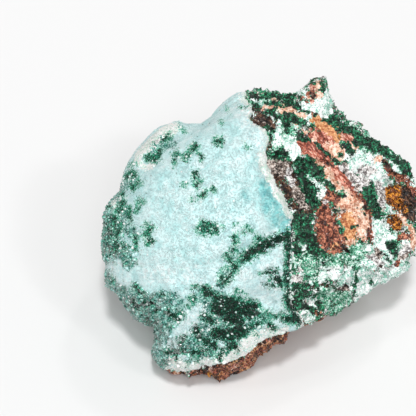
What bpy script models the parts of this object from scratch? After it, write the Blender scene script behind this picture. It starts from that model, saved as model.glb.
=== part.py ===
"""Chrysocolla specimen: a broken lump of iron-stained copper ore, 86 mm long, lying on its worn underside.

Its left side swells into a dome that wears a crust of drusy chrysocolla, and its right side is the break
through the rock behind that crust. There are two solids: druse_crust, the crystal crust, and matrix_rock,
the rock that it grew on.

The form is worked out in a show frame, whose axes are right, up and out of the face that the stone is shown
by. That face looks up at SHOW_TILT, so the frame is the stone's own frame leaned back. Lengths are in
millimetres until they are put into a mesh.
"""

import math

import bmesh
import bpy
import numpy as np

MM = 0.001

# Driving dimensions, in millimetres and degrees.
SHOW_TILT = 48.0  # how far above the horizon the show face looks
CORE = (-3.1, 0.1, 26.0)  # the stone's middle, from the origin on the surface it rests on
FRONT_DEPTH = 31.0  # from the middle out to the show face
BACK_DEPTH = 31.0  # from the middle to the back
SQUARENESS = 2.3  # exponent of the depth curve: 2 is an ellipse, more is boxier
BEYOND = 60.0  # a length that reaches past the whole stone
CRUST = 3.3  # thickness of the crystal crust
SEAM = 0.35  # width of the joint between crust and rock
FOOT_HOLLOW = 1.5  # depth of the hollows in the worn underside
CELLS = 22  # cells along each edge of the ball that the stone is shaped from
INNER_CELLS = 14  # the same for the hidden face between crust and rock
FINER_FRONT = 0.28  # how far those cells are drawn towards the show face, out of 1

# The outline, square on to the show face: the angle anticlockwise from the right, and the radius.
OUTLINE = [
    (3, 46.5), (12, 47.5), (18, 48.4), (24, 47.8), (28, 45.6), (35, 43.2), (44, 40.5), (51, 39.2),
    (57, 40.6), (62, 44.8), (65, 46.4), (69, 44.6), (72, 40.4), (82, 38.6), (94, 37.6), (101, 35.6),
    (108, 33.4), (114, 32.5), (119, 34.0), (123, 36.6), (130, 37.8), (146, 38.0), (161, 37.2), (169, 39.2),
    (191, 39.5), (199, 40.6), (204, 38.4), (215, 38.0), (224, 35.2), (228, 37.5), (231, 41.4), (241, 43.0),
    (251, 40.0), (256, 40.6), (260, 39.5), (268, 36.0), (275, 32.0), (291, 29.5), (302, 28.4), (312, 29.4),
    (323, 31.3), (331, 34.0), (339, 37.9), (347, 42.5), (356, 44.6),
]
ROUNDED = 30  # towards the show face and the back, the outline is averaged over this many degrees each way

# The crust's broken edge on the show face, from the base up: how far right, and how far up.
BREAK_EDGE = [
    (14.3, -22.9), (10.7, -17.6), (11.1, -4.1), (10.3, 5.2), (7.9, 8.3), (4.9, 10.8), (2.2, 16.5),
    (2.5, 21.0), (4.6, 26.0), (1.0, 31.5), (-2.7, 37.3), (-3.0, 50.0),
]
# Its edge above the base, from the break to the left.
BASE_EDGE = [(7.3, -25.6), (2.2, -27.2), (-1.6, -30.4), (-11.9, -34.2), (-22.4, -36.4), (-30.0, -50.0)]
CRUST_BACK = (-17.0, -9.0)  # out of the show frame: where the crust has run out, and where it starts to thin
CRUST_FOOT = (1.0, 4.5)  # above the ground: where the crust has run out, and where it starts to thin
GRAPES = (7.2, 0.8)  # the dome's lumps: how far apart they are, and how tall
STEPS = (12.0, 1.8)  # the steps of the broken rock: how long they run, and how high they climb
KNOBS = (4.6, 0.7)  # the smaller knobs on it
STEP_DOWN = 2.4  # how far the broken face lies below the crust's surface
STEP_PLACE = (-3.6, -0.4)  # right of the crust's broken edge: where the rock under it takes that step
BREAK_SLOPE = 0.08  # how much further it falls for each millimetre to the right

# Flat breaks through the rock: the way each faces (right, up, out), and how far out from the middle it is.
BREAKS = {
    "broken face": ((0.46, 0.22, 0.86), 31.0),
    "lower broken face": ((0.36, -0.46, 0.81), 29.3),
    "back, upper right": ((0.55, 0.42, -0.72), 31.5),
    "back, middle": ((-0.05, 0.30, -0.95), 26.5),
    "back, left": ((-0.62, -0.05, -0.78), 31.0),
    "back, lower right": ((0.66, -0.25, -0.71), 33.5),
    "top": ((0.05, 0.70, -0.71), 34.5),
    "right end": ((0.93, -0.10, -0.35), 44.0),
    "front foot": ((0.10, -0.86, 0.50), 36.5),
}
BREAK_EDGES = 22  # sharpness of the edges where breaks meet

# Folds of the show face. Each is a height, a half width, and the points that it runs through: right, up.
FOLDS = {
    "crease across the dome": (-1.8, 2.4, [(13.5, 8.1), (3.0, -2.0), (-17.5, -10.8)]),
    "valley beside the rim": (-1.6, 2.6, [(-1.5, 17.0), (1.5, 8.5), (5.5, 2.0)]),
    "raised rim": (1.3, 1.4, [(0.4, 20.5), (0.4, 16.0), (3.0, 10.0), (8.2, 5.0)]),
    "triangular lobe": (1.4, 4.5, [(8.0, -2.0), (6.5, -13.0)]),
    "crest of the lower lobe": (2.2, 3.0, [(-13.5, -20.5), (-22.5, -30.0)]),
    "valley of the lower lobe": (-2.6, 3.4, [(2.5, -15.5), (-9.0, -25.0)]),
    "groove before the left knob": (-3.0, 2.2, [(-27.5, 18.5), (-21.5, 25.0), (-13.0, 29.0)]),
    "dark inclusion": (-1.2, 1.8, [(1.5, 31.0), (5.5, 28.3)]),
    "trough behind the rim": (-1.8, 2.0, [(5.0, 21.0), (8.5, 14.0), (12.0, 6.0)]),
    "green ledge": (1.2, 2.2, [(13.0, 24.0), (19.0, 14.0), (16.0, 2.0)]),
    "upper band": (1.4, 1.6, [(3.5, 35.0), (13.5, 32.4), (20.5, 27.0), (27.0, 15.0)]),
    "upper groove": (-1.1, 1.3, [(10.0, 27.0), (19.0, 19.0), (25.5, 12.0)]),
    "rock core": (1.8, 4.6, [(26.5, 8.5), (28.0, 0.5)]),
    "groove round the core": (-1.2, 1.5, [(29.5, 16.0), (34.5, 6.0), (32.5, -4.0)]),
    "cavity": (-5.0, 3.6, [(37.5, 12.5), (41.0, 8.5)]),
    "pocket": (-2.2, 2.0, [(39.3, 3.5)]),
    "lower ledge": (1.5, 2.6, [(17.0, -12.0), (29.0, -9.0), (38.0, -5.5)]),
    "lower groove": (-1.4, 1.8, [(16.0, -17.5), (27.0, -14.5), (36.0, -11.0)]),
}


def hashed(x, y, z, seed):
    """A number from 0 to 1 for each whole-number place, the same on every run."""
    mixed = (x * 374761393 + y * 668265263 + z * 1440662683 + seed * 974711) & 0xFFFFFFFF
    mixed = ((mixed ^ (mixed >> 13)) * 1274126177) & 0xFFFFFFFF
    return (mixed ^ (mixed >> 16)) / 0xFFFFFFFF


def noise(points, size, seed):
    """Smooth noise from -1 to 1: hashed numbers at the corners of cells of this size, blended inside each."""
    cell = np.floor(points / size).astype(np.int64)
    part = points / size - cell
    ease = part * part * (3 - 2 * part)
    total = np.zeros(len(points))
    for corner in np.ndindex(2, 2, 2):
        weight = np.prod(np.where(corner, ease, 1 - ease), axis=1)
        total += weight * hashed(*(cell + corner).T, seed)
    return 2 * total - 1


def lumps(points, size, seed):
    """Rounded lumps like grapes: 1 in the middle of each, falling to 0 in the creases between them."""
    cell = np.floor(points / size).astype(np.int64)
    nearest = np.full(len(points), np.inf)
    for step in np.ndindex(3, 3, 3):
        near = cell + step - 1
        middle = near + np.stack([hashed(*near.T, seed + axis) for axis in range(3)], axis=1)
        nearest = np.minimum(nearest, np.linalg.norm(middle * size - points, axis=1))
    return np.clip(1 - (nearest / size) ** 2, 0, 1)


def eased(value, low, high):
    """0 below low, 1 above high, and a smooth step between."""
    share = np.clip((value - low) / (high - low), 0, 1)
    return share * share * (3 - 2 * share)


def ledges(value):
    """The value drawn into flat steps one millimetre high, with short slopes between them."""
    step = np.floor(value)
    return step + eased(value - step, 0.3, 0.7)


def reach(angle):
    """The outline's radius at these angles, in straight steps between its points."""
    angles, radii = np.transpose(OUTLINE)
    return np.interp(angle, angles, radii, period=360)


def distance(points, path):
    """How far each point of the show plane is from a path of straight stretches, or from a single point."""
    path = np.array(path if len(path) > 1 else path * 2)
    nearest = np.full(len(points), np.inf)
    for start, end in zip(path[:-1], path[1:]):
        stretch = end - start
        share = np.clip((points - start) @ stretch / max(stretch @ stretch, 1e-9), 0, 1)
        nearest = np.minimum(nearest, np.linalg.norm(points - start - share[:, None] * stretch, axis=1))
    return nearest


def relief(plane, broken):
    """How far the show face stands out of the plain form at each point of the show plane.

    The broken rock steps down at the crust's edge, and the crust itself doesn't.
    """
    height = sum(tall * np.exp(-((distance(plane, path) / wide) ** 2)) for tall, wide, path in FOLDS.values())
    edge_right, edge_up = np.transpose(BREAK_EDGE)
    beyond = plane[:, 0] - np.interp(plane[:, 1], edge_up, edge_right)
    step = eased(beyond, *STEP_PLACE) * (STEP_DOWN + BREAK_SLOPE * np.maximum(beyond, 0))
    return height - broken * step


def stone(direction, broken):
    """Where the stone's surface lies along each unit direction from its middle, in the show frame.

    The plain form is a swollen box, (across / edge)^n + (out / depth)^n = 1. Its edge is the outline at the
    rim, and eases into the averaged outline towards the show face and the back. The breaks cut it flat, and
    the folds then move the show face straight out or in. Grape-like lumps cover the dome, and broken, stepped
    rock covers the rest.
    """
    out = direction[:, 2]
    across = np.hypot(direction[:, 0], direction[:, 1])
    angle = np.degrees(np.arctan2(direction[:, 1], direction[:, 0]))
    average = np.mean([reach(angle + turn) for turn in range(-ROUNDED, ROUNDED + 1, 5)], axis=0)
    edge = average + (reach(angle) - average) * eased(across, 0.80, 0.98)
    depth = np.where(out > 0, FRONT_DEPTH, BACK_DEPTH)
    radius = ((across / edge) ** SQUARENESS + (np.abs(out) / depth) ** SQUARENESS) ** (-1 / SQUARENESS)
    nearness = radius ** -BREAK_EDGES
    for facing, far in BREAKS.values():
        facing = np.array(facing) / np.linalg.norm(facing)
        nearness += (np.maximum(direction @ facing, 0) / far) ** BREAK_EDGES
    points = direction * (nearness ** (-1 / BREAK_EDGES))[:, None]
    points[:, 2] += relief(points[:, :2], broken) * eased(out, 0.05, 0.35)
    grapes = eased(direction @ (-0.75, -0.1, 0.5), 0.0, 0.6)
    smooth = GRAPES[1] * (lumps(points, GRAPES[0], 3) - 0.6)
    rough = ledges(STEPS[1] * noise(points, STEPS[0], 5)) + KNOBS[1] * noise(points, KNOBS[0], 6)
    return points + direction * (rough + grapes * (smooth - rough))[:, None]


def stand(points):
    """Lean the show frame's points back, lift them to their height, and wear the underside flat.

    The underside rests on wide worn patches, with shallow hollows between them.
    """
    lean = math.radians(SHOW_TILT)
    right, up, out = points.T
    back = up * math.sin(lean) - out * math.cos(lean)
    height = up * math.cos(lean) + out * math.sin(lean)
    placed = np.stack([right, back, height], axis=1)
    placed += CORE
    hollow = FOOT_HOLLOW * eased(noise(placed * (1, 1, 0), 12.0, 4), 0.25, 0.65)
    placed[:, 2] = np.maximum(placed[:, 2], hollow)
    return placed


def ball(cells):
    """A cube with this many cells along each edge, and the direction of each of its corners.

    The directions are evened out over the ball, and then drawn a little towards the show face.
    """
    mesh = bmesh.new()
    bmesh.ops.create_cube(mesh, size=2.0)
    bmesh.ops.subdivide_edges(mesh, edges=mesh.edges[:], cuts=cells - 1, use_grid_fill=True)
    places = np.tan(np.array([vert.co[:] for vert in mesh.verts]) * math.pi / 4)
    places /= np.linalg.norm(places, axis=1)[:, None]
    places[:, 2] += FINER_FRONT
    return mesh, places / np.linalg.norm(places, axis=1)[:, None]


def shaped(name, cells, broken=False, sunk=0.0):
    """The stone as an object. A sunk one lies this deep where it has crust, and stands proud elsewhere."""
    mesh, direction = ball(cells)
    points = stone(direction, broken)
    placed = stand(points)
    if sunk:
        ragged = points[:, 2] + 4 * noise(points, 14.0, 9)
        covered = eased(ragged, *CRUST_BACK) * eased(placed[:, 2], *CRUST_FOOT)
        outward = placed - CORE
        proud = CRUST - (sunk + CRUST) * covered
        placed += outward * (proud / np.linalg.norm(outward, axis=1))[:, None]
    for vert, place in zip(mesh.verts, placed * MM):
        vert.co = place
    bmesh.ops.triangulate(mesh, faces=mesh.faces[:])
    data = bpy.data.meshes.new(name)
    mesh.to_mesh(data)
    mesh.free()
    return bpy.data.objects.new(name, data)


def widened(path, amount):
    """A path moved sideways by this amount, to the right of the way that it runs."""
    path = np.array(path)
    along = np.gradient(path, axis=0)
    along /= np.linalg.norm(along, axis=1)[:, None]
    return path + amount * along[:, ::-1] * (1, -1)


def crust_side(name, wider):
    """A thick plate that takes in the side of the stone that has crust, up to the crust's broken edges."""
    edge = np.concatenate([np.array(BASE_EDGE[::-1]), np.array(BREAK_EDGE)])
    edge = widened(edge, wider)
    around = [(-BEYOND, 50.0), (-BEYOND, -50.0)]
    curve = bpy.data.curves.new(name, "CURVE")
    curve.dimensions = "2D"
    curve.fill_mode = "BOTH"
    curve.extrude = BEYOND * MM
    spline = curve.splines.new("POLY")
    corners = np.concatenate([edge, around]) * MM
    spline.points.add(len(corners) - 1)
    for point, (right, up) in zip(spline.points, corners):
        point.co = (right, up, 0, 1)
    spline.use_cyclic_u = True
    outline = bpy.data.objects.new(name, curve)
    bpy.context.scene.collection.objects.link(outline)
    bpy.context.view_layer.update()
    solid = outline.evaluated_get(bpy.context.evaluated_depsgraph_get())
    mesh = bmesh.new()
    mesh.from_mesh(bpy.data.meshes.new_from_object(solid))
    bpy.data.objects.remove(outline)
    bmesh.ops.remove_doubles(mesh, verts=mesh.verts[:], dist=0.01 * MM)
    bmesh.ops.recalc_face_normals(mesh, faces=mesh.faces[:])
    data = bpy.data.meshes.new(name)
    mesh.to_mesh(data)
    mesh.free()
    plate = bpy.data.objects.new(name, data)
    plate.location = np.array(CORE) * MM
    plate.rotation_euler.x = math.radians(90 - SHOW_TILT)
    return plate


def carve(target, cutter, operation):
    """Cut the target by the cutter, or keep only what it shares with it."""
    boolean = target.modifiers.new(operation.title(), "BOOLEAN")
    boolean.operation = operation
    boolean.solver = "EXACT"
    boolean.object = cutter


def surfaced(part, name, color, roughness):
    """Give the part its own material."""
    material = bpy.data.materials.new(name)
    material.use_nodes = True
    shader = material.node_tree.nodes["Principled BSDF"]
    shader.inputs["Base Color"].default_value = (*color, 1.0)
    shader.inputs["Roughness"].default_value = roughness
    shader.inputs["Metallic"].default_value = 0.0
    part.data.materials.append(material)


def build():
    """Shape the stone twice, and divide it into its crust and its rock."""
    for old in list(bpy.data.objects):
        bpy.data.objects.remove(old)
    parts = bpy.data.collections.new("chrysocolla_specimen")
    cutters = bpy.data.collections.new("cutters")
    for group in (parts, cutters):
        bpy.context.scene.collection.children.link(group)

    crust = shaped("druse_crust", CELLS)
    rock = shaped("matrix_rock", CELLS, broken=True)
    for part in (crust, rock):
        parts.objects.link(part)

    # The crust's space is its side of the stone, less the rock inside it. The rock gives up a little more.
    for part, operation, gap in ((crust, "INTERSECT", 0.0), (rock, "DIFFERENCE", SEAM)):
        space = crust_side(part.name + "_space", gap)
        heart = shaped(part.name + "_heart", INNER_CELLS, sunk=CRUST + gap)
        for cutter in (space, heart):
            cutters.objects.link(cutter)
            cutter.hide_render = True
            cutter.display_type = "WIRE"
        carve(space, heart, "DIFFERENCE")
        carve(part, space, operation)

    surfaced(crust, "chrysocolla_druse", (0.62, 0.83, 0.82), 0.45)
    surfaced(rock, "iron_stained_ore", (0.25, 0.16, 0.11), 0.8)
    for part in (crust, rock):
        part.data.shade_smooth()
        part.data.set_sharp_from_angle(angle=math.radians(40))


build()
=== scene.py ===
"""The looks of a chrysocolla specimen: a lump of copper ore with a crust of sparkling druse on its left side.

The stone is worked out in its show frame, whose axes are right, up and out of the face that it is shown by,
in millimetres from its middle. That face looks up at SHOW_TILT. stand() puts such points where they lie.
"""

import math

import bpy
import numpy as np
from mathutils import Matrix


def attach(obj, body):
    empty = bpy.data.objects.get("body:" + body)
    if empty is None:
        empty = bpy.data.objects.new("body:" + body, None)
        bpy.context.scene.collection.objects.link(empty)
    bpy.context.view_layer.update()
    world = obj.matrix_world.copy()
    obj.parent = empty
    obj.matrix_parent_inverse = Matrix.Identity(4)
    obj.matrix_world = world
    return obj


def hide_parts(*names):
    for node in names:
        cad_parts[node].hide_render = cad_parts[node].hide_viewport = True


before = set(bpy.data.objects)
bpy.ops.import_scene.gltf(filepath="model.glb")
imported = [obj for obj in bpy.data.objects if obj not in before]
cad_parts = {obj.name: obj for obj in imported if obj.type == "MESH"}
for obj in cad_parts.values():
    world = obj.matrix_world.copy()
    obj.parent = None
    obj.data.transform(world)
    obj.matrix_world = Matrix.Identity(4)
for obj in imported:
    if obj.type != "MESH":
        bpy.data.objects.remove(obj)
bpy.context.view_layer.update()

# --- The matrix rock ---------------------------------------------------------------------------------------
# A broken lump of copper ore: red-brown and ochre iron oxides, salmon limonite, white and mint green quartz
# and dark green malachite, grown through each other in sloping bands. Its face is the rough break through
# them, its right end holds a golden cavity, and its underside is worn flat.

MM = 0.001
SHOW_TILT = math.radians(48.0)
CORE = np.array((-3.1, 0.1, 26.0))  # the stone's middle, from the origin on the surface that it rests on
FRONT_DEPTH, BACK_DEPTH = 31.0, 31.0
SQUARENESS = 2.3
ROUNDED = 30  # degrees each way over which the outline is averaged, towards the face and the back
OUTLINE_FROM = (0.80, 0.98)  # how far across, as a share, the true outline eases in
FOLDS_FROM = (0.05, 0.35)  # how far out, as a share, the folds of the show face ease in
DOME_WAY = (-0.75, -0.1, 0.5)  # the way that the grape-like dome faces
FOOT_HOLLOW = (12.0, 1.5)  # the hollows under the worn foot: how far apart they are, and how deep

# The outline, square on to the show face: the angle anticlockwise from the right, and the radius.
OUTLINE = [
    (3, 46.5), (12, 47.5), (18, 48.4), (24, 47.8), (28, 45.6), (35, 43.2), (44, 40.5), (51, 39.2),
    (57, 40.6), (62, 44.8), (65, 46.4), (69, 44.6), (72, 40.4), (82, 38.6), (94, 37.6), (101, 35.6),
    (108, 33.4), (114, 32.5), (119, 34.0), (123, 36.6), (130, 37.8), (146, 38.0), (161, 37.2), (169, 39.2),
    (191, 39.5), (199, 40.6), (204, 38.4), (215, 38.0), (224, 35.2), (228, 37.5), (231, 41.4), (241, 43.0),
    (251, 40.0), (256, 40.6), (260, 39.5), (268, 36.0), (275, 32.0), (291, 29.5), (302, 28.4), (312, 29.4),
    (323, 31.3), (331, 34.0), (339, 37.9), (347, 42.5), (356, 44.6),
]
# The edge that the crust is broken off along, from the base up, and its edge above the base.
BREAK_EDGE = [
    (14.3, -22.9), (10.7, -17.6), (11.1, -4.1), (10.6, 4.4), (9.6, 8.0), (7.7, 11.8), (6.0, 14.8),
    (4.0, 19.0), (4.2, 23.0), (4.6, 26.0), (3.4, 27.6), (0.4, 29.4), (0.0, 31.8), (0.6, 33.2),
    (-0.8, 36.0), (-1.0, 50.0),
]
BASE_EDGE = [
    (-30.0, -50.0), (-22.4, -36.0), (-16.5, -36.3), (-11.0, -34.6), (-6.0, -33.6), (-1.5, -31.8),
    (1.2, -28.7), (5.0, -26.9), (10.0, -25.2),
]
BASE_EDGE_ON = [(20.0, -21.5)]  # where the stained foot's upper edge runs on to, right of the crust
CRUST_BACK, CRUST_FOOT = -13.0, 2.75  # how far out, and how high, the crust has run out
BACK_WANDERS = (14.0, 4.0)  # how its edge at the back comes and goes: how often, and how far
GRAPES = (7.2, 0.8)  # the dome's lumps: how far apart they are, and how tall
STEPS = (12.0, 1.8)  # the steps of the broken rock: how long they run, and how high they climb
KNOBS = (4.6, 0.7)  # the smaller knobs on it
STEP_DOWN = 2.4  # how far the broken face lies below the crust's surface
STEP_PLACE = (-3.6, -0.4)  # right of the crust's broken edge: where the rock under it takes that step
BREAK_SLOPE = 0.08  # how much further down it lies with each millimetre to the right
BREAK_EDGES = 22  # how sharp the edges between the flat breaks are

# Flat breaks through the rock: the way each faces (right, up, out), and how far out from the middle it is.
BREAKS = {
    "broken face": ((0.46, 0.22, 0.86), 31.0),
    "lower broken face": ((0.36, -0.46, 0.81), 29.3),
    "back, upper right": ((0.55, 0.42, -0.72), 31.5),
    "back, middle": ((-0.05, 0.30, -0.95), 26.5),
    "back, left": ((-0.62, -0.05, -0.78), 31.0),
    "back, lower right": ((0.66, -0.25, -0.71), 33.5),
    "top": ((0.05, 0.70, -0.71), 34.5),
    "right end": ((0.93, -0.10, -0.35), 44.0),
    "front foot": ((0.10, -0.86, 0.50), 36.5),
}

# Folds of the show face. Each is a height, a half width, and the points that it runs through: right, up.
FOLDS = {
    "crease across the dome": (-1.8, 2.4, [(13.5, 8.1), (3.0, -2.0), (-17.5, -10.8)]),
    "valley beside the rim": (-1.6, 2.6, [(-0.5, 17.0), (3.0, 9.5), (6.3, 2.6)]),
    "raised rim": (1.3, 1.4, [(2.2, 20.5), (3.6, 16.0), (6.4, 10.6), (9.0, 5.4)]),
    "triangular lobe": (1.4, 4.5, [(8.0, -2.0), (6.5, -13.0)]),
    "crest of the lower lobe": (2.2, 3.0, [(-13.5, -20.5), (-22.5, -30.0)]),
    "valley of the lower lobe": (-2.6, 3.4, [(2.5, -15.5), (-9.0, -25.0)]),
    "groove before the left knob": (-3.0, 2.2, [(-27.5, 18.5), (-21.5, 25.0), (-13.0, 29.0)]),
    "dark inclusion": (-1.2, 1.8, [(1.5, 31.0), (5.5, 28.3)]),
    "trough behind the rim": (-1.8, 2.0, [(6.4, 21.0), (9.2, 15.0), (12.4, 7.0)]),
    "green ledge": (1.2, 2.2, [(13.0, 24.0), (19.0, 14.0), (16.0, 2.0)]),
    "upper band": (1.4, 1.6, [(3.5, 35.0), (13.5, 32.4), (20.5, 27.0), (27.0, 15.0)]),
    "upper groove": (-1.1, 1.3, [(10.0, 27.0), (19.0, 19.0), (25.5, 12.0)]),
    "rock core": (1.8, 4.6, [(26.5, 8.5), (28.0, 0.5)]),
    "groove round the core": (-1.2, 1.5, [(29.5, 16.0), (34.5, 6.0), (32.5, -4.0)]),
    "cavity": (-5.0, 3.6, [(37.5, 12.5), (41.0, 8.5)]),
    "pocket": (-2.2, 2.0, [(39.3, 3.5)]),
    "lower ledge": (1.5, 2.6, [(17.0, -12.0), (29.0, -9.0), (38.0, -5.5)]),
    "lower groove": (-1.4, 1.8, [(16.0, -17.5), (27.0, -14.5), (36.0, -11.0)]),
}


def hashed(x, y, z, seed):
    """A number from 0 to 1 for each whole-number place, the same on every run."""
    mixed = (x * 374761393 + y * 668265263 + z * 1440662683 + seed * 974711) & 0xFFFFFFFF
    mixed = ((mixed ^ (mixed >> 13)) * 1274126177) & 0xFFFFFFFF
    return (mixed ^ (mixed >> 16)) / 0xFFFFFFFF


def unit(vectors):
    """The same directions, one long."""
    return vectors / np.maximum(np.linalg.norm(vectors, axis=-1), 1e-12)[..., None]


def noise(points, size, seed):
    """Smooth noise from -1 to 1: hashed numbers at the corners of cells of this size, blended inside each."""
    cell = np.floor(points / size).astype(np.int64)
    part = points / size - cell
    ease = part * part * (3 - 2 * part)
    total = np.zeros(len(points))
    for corner in np.ndindex(2, 2, 2):
        weight = np.prod(np.where(corner, ease, 1 - ease), axis=1)
        total += weight * hashed(*(cell + corner).T, seed)
    return 2 * total - 1


def moved(points, size, amount, seed, axes):
    """How far noise of this size and amount moves each point along each of the axes."""
    return amount * np.stack([noise(points, size, seed + axis) for axis in range(axes)], axis=1)


def owned(cells, seed):
    """Three numbers from 0 to 1 that are each cell's own."""
    return np.stack([hashed(*cells.T, seed + axis) for axis in range(3)], axis=1)


def lumps(points, size, seed):
    """Rounded lumps like grapes: 1 in the middle of each, falling to 0 in the creases between them."""
    cell = np.floor(points / size).astype(np.int64)
    nearest = np.full(len(points), np.inf)
    for step in np.ndindex(3, 3, 3):
        near = cell + step - 1
        middle = near + owned(near, seed)
        nearest = np.minimum(nearest, np.linalg.norm(middle * size - points, axis=1))
    return np.clip(1 - (nearest / size) ** 2, 0, 1)


def eased(value, low, high):
    """0 below low, 1 above high, and a smooth step between."""
    share = np.clip((value - low) / (high - low), 0, 1)
    return share * share * (3 - 2 * share)


def ledges(value):
    """The value drawn into flat steps one millimetre high, with short slopes between them."""
    step = np.floor(value)
    return step + eased(value - step, 0.3, 0.7)


def reach(angle):
    """The outline's radius at these angles, in straight steps between its points."""
    angles, radii = np.transpose(OUTLINE)
    return np.interp(angle, angles, radii, period=360)


def distance(points, path):
    """How far each point of the show plane is from a path of straight stretches, or from a single point."""
    path = np.array(path if len(path) > 1 else path * 2)
    nearest = np.full(len(points), np.inf)
    for start, end in zip(path[:-1], path[1:]):
        stretch = end - start
        share = np.clip((points - start) @ stretch / max(stretch @ stretch, 1e-9), 0, 1)
        nearest = np.minimum(nearest, np.linalg.norm(points - start - share[:, None] * stretch, axis=1))
    return nearest


def beyond_break(points):
    """How far right of the crust's broken edge each point of the show frame is."""
    edge_right, edge_up = np.transpose(BREAK_EDGE)
    return points[:, 0] - np.interp(points[:, 1], edge_up, edge_right)


def relief(plane, broken):
    """How far the show face stands out of the plain form: the folds, and the step down of the broken rock."""
    height = sum(tall * np.exp(-((distance(plane, path) / wide) ** 2)) for tall, wide, path in FOLDS.values())
    beyond = beyond_break(plane)
    step = eased(beyond, *STEP_PLACE) * (STEP_DOWN + BREAK_SLOPE * np.maximum(beyond, 0))
    return height - broken * step


def stone(direction, broken):
    """Where the stone's surface lies along each unit direction from its middle, in the show frame.

    The plain form is a swollen box, (across / edge)^n + (out / depth)^n = 1. Its edge is the outline at the
    rim, and eases into the averaged outline towards the show face and the back. The breaks cut it flat, and
    the folds then move the show face straight out or in. Grape-like lumps cover the dome, and broken, stepped
    rock covers the rest.
    """
    out = direction[:, 2]
    across = np.hypot(direction[:, 0], direction[:, 1])
    angle = np.degrees(np.arctan2(direction[:, 1], direction[:, 0]))
    average = np.mean([reach(angle + turn) for turn in range(-ROUNDED, ROUNDED + 1, 5)], axis=0)
    edge = average + (reach(angle) - average) * eased(across, *OUTLINE_FROM)
    depth = np.where(out > 0, FRONT_DEPTH, BACK_DEPTH)
    radius = ((across / edge) ** SQUARENESS + (np.abs(out) / depth) ** SQUARENESS) ** (-1 / SQUARENESS)
    nearness = radius ** -BREAK_EDGES
    for facing, far in BREAKS.values():
        nearness += (np.maximum(direction @ unit(np.array(facing)), 0) / far) ** BREAK_EDGES
    points = direction * (nearness ** (-1 / BREAK_EDGES))[:, None]
    points[:, 2] += relief(points[:, :2], broken) * eased(out, *FOLDS_FROM)
    grapes = eased(direction @ DOME_WAY, 0.0, 0.6)
    smooth = GRAPES[1] * (lumps(points, GRAPES[0], 3) - 0.6)
    rough = ledges(STEPS[1] * noise(points, STEPS[0], 5)) + KNOBS[1] * noise(points, KNOBS[0], 6)
    return points + direction * (rough + grapes * (smooth - rough))[:, None]


def stand(points):
    """Show frame to world: leaned back, lifted to its height, and worn flat underneath, in millimetres."""
    right, up, out = points.T
    back = up * math.sin(SHOW_TILT) - out * math.cos(SHOW_TILT)
    height = up * math.cos(SHOW_TILT) + out * math.sin(SHOW_TILT)
    placed = np.stack([right, back, height], axis=1) + CORE
    hollow = FOOT_HOLLOW[1] * eased(noise(placed * (1, 1, 0), FOOT_HOLLOW[0], 4), 0.25, 0.65)
    placed[:, 2] = np.maximum(placed[:, 2], hollow)
    return placed


def under_crust(points):
    """How far inside the crust's edges each point lies, and below 0 where there is no crust."""
    edge_right, edge_up = np.transpose(BASE_EDGE)
    above_base = points[:, 1] - np.interp(points[:, 0], edge_right, edge_up)
    above_base = np.where(points[:, 0] > edge_right[-1], np.inf, above_base)
    in_front = points[:, 2] + BACK_WANDERS[1] * noise(points, BACK_WANDERS[0], 9) - CRUST_BACK
    height = points[:, 1] * math.cos(SHOW_TILT) + points[:, 2] * math.sin(SHOW_TILT) + CORE[2]
    return np.minimum.reduce([-beyond_break(points), above_base, in_front, height - CRUST_FOOT])


def under_base(points):
    """How far below the crust's edge above the base each point of the show frame lies."""
    edge_right, edge_up = np.transpose(BASE_EDGE + BASE_EDGE_ON)
    return np.interp(points[:, 0], edge_right, edge_up) - points[:, 1]


def facing_out(points, faces):
    """The unit normal at each point: the sum of its faces' normals, each from the face's two diagonals."""
    corners = points[faces]
    across = np.cross(corners[:, 2] - corners[:, 0], corners[:, -1] - corners[:, 1])
    total = np.stack([
        sum(np.bincount(corner, across[:, axis], len(points)) for corner in faces.T) for axis in range(3)
    ], axis=1)
    return unit(total)


def squares(cells):
    """The faces of a grid of this many cells a side, whose points are numbered row by row."""
    row, column = np.meshgrid(np.arange(cells), np.arange(cells), indexing="ij")
    first = (row * (cells + 1) + column).ravel()
    return np.stack([first, first + cells + 1, first + cells + 2, first + 1], axis=1)


def ball(cells, towards, drawn):
    """A cube's sides as grids, swelled into a ball and drawn towards one side, so that cells are finer there.

    Returns the unit directions, the faces with their corners anticlockwise from outside, and for each face
    corner its place on a sheet that holds the six sides side by side, three to a row.
    """
    quads = squares(cells)
    u, v = (side.ravel() for side in np.meshgrid(np.arange(cells + 1), np.arange(cells + 1), indexing="ij"))
    sides, faces, sheet = [], [], []
    for number, (axis, end) in enumerate((axis, end) for axis in range(3) for end in (0, cells)):
        place = np.full((len(u), 3), end)
        place[:, (axis + 1) % 3], place[:, (axis + 2) % 3] = u, v
        sides.append(place)
        turned = quads if end else quads[:, ::-1]
        faces.append(turned + number * len(u))
        corner = np.stack([u, v], axis=1)[turned] / cells * 0.96 + 0.02
        sheet.append((corner + (number % 3, number // 3)) / 3)
    places, same = np.unique(np.concatenate(sides), axis=0, return_inverse=True)
    direction = unit(np.tan((places / cells * 2 - 1) * math.pi / 4))
    direction = unit(direction + drawn * np.array(towards))
    return direction, same.ravel()[np.concatenate(faces)], np.concatenate(sheet)


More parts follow.
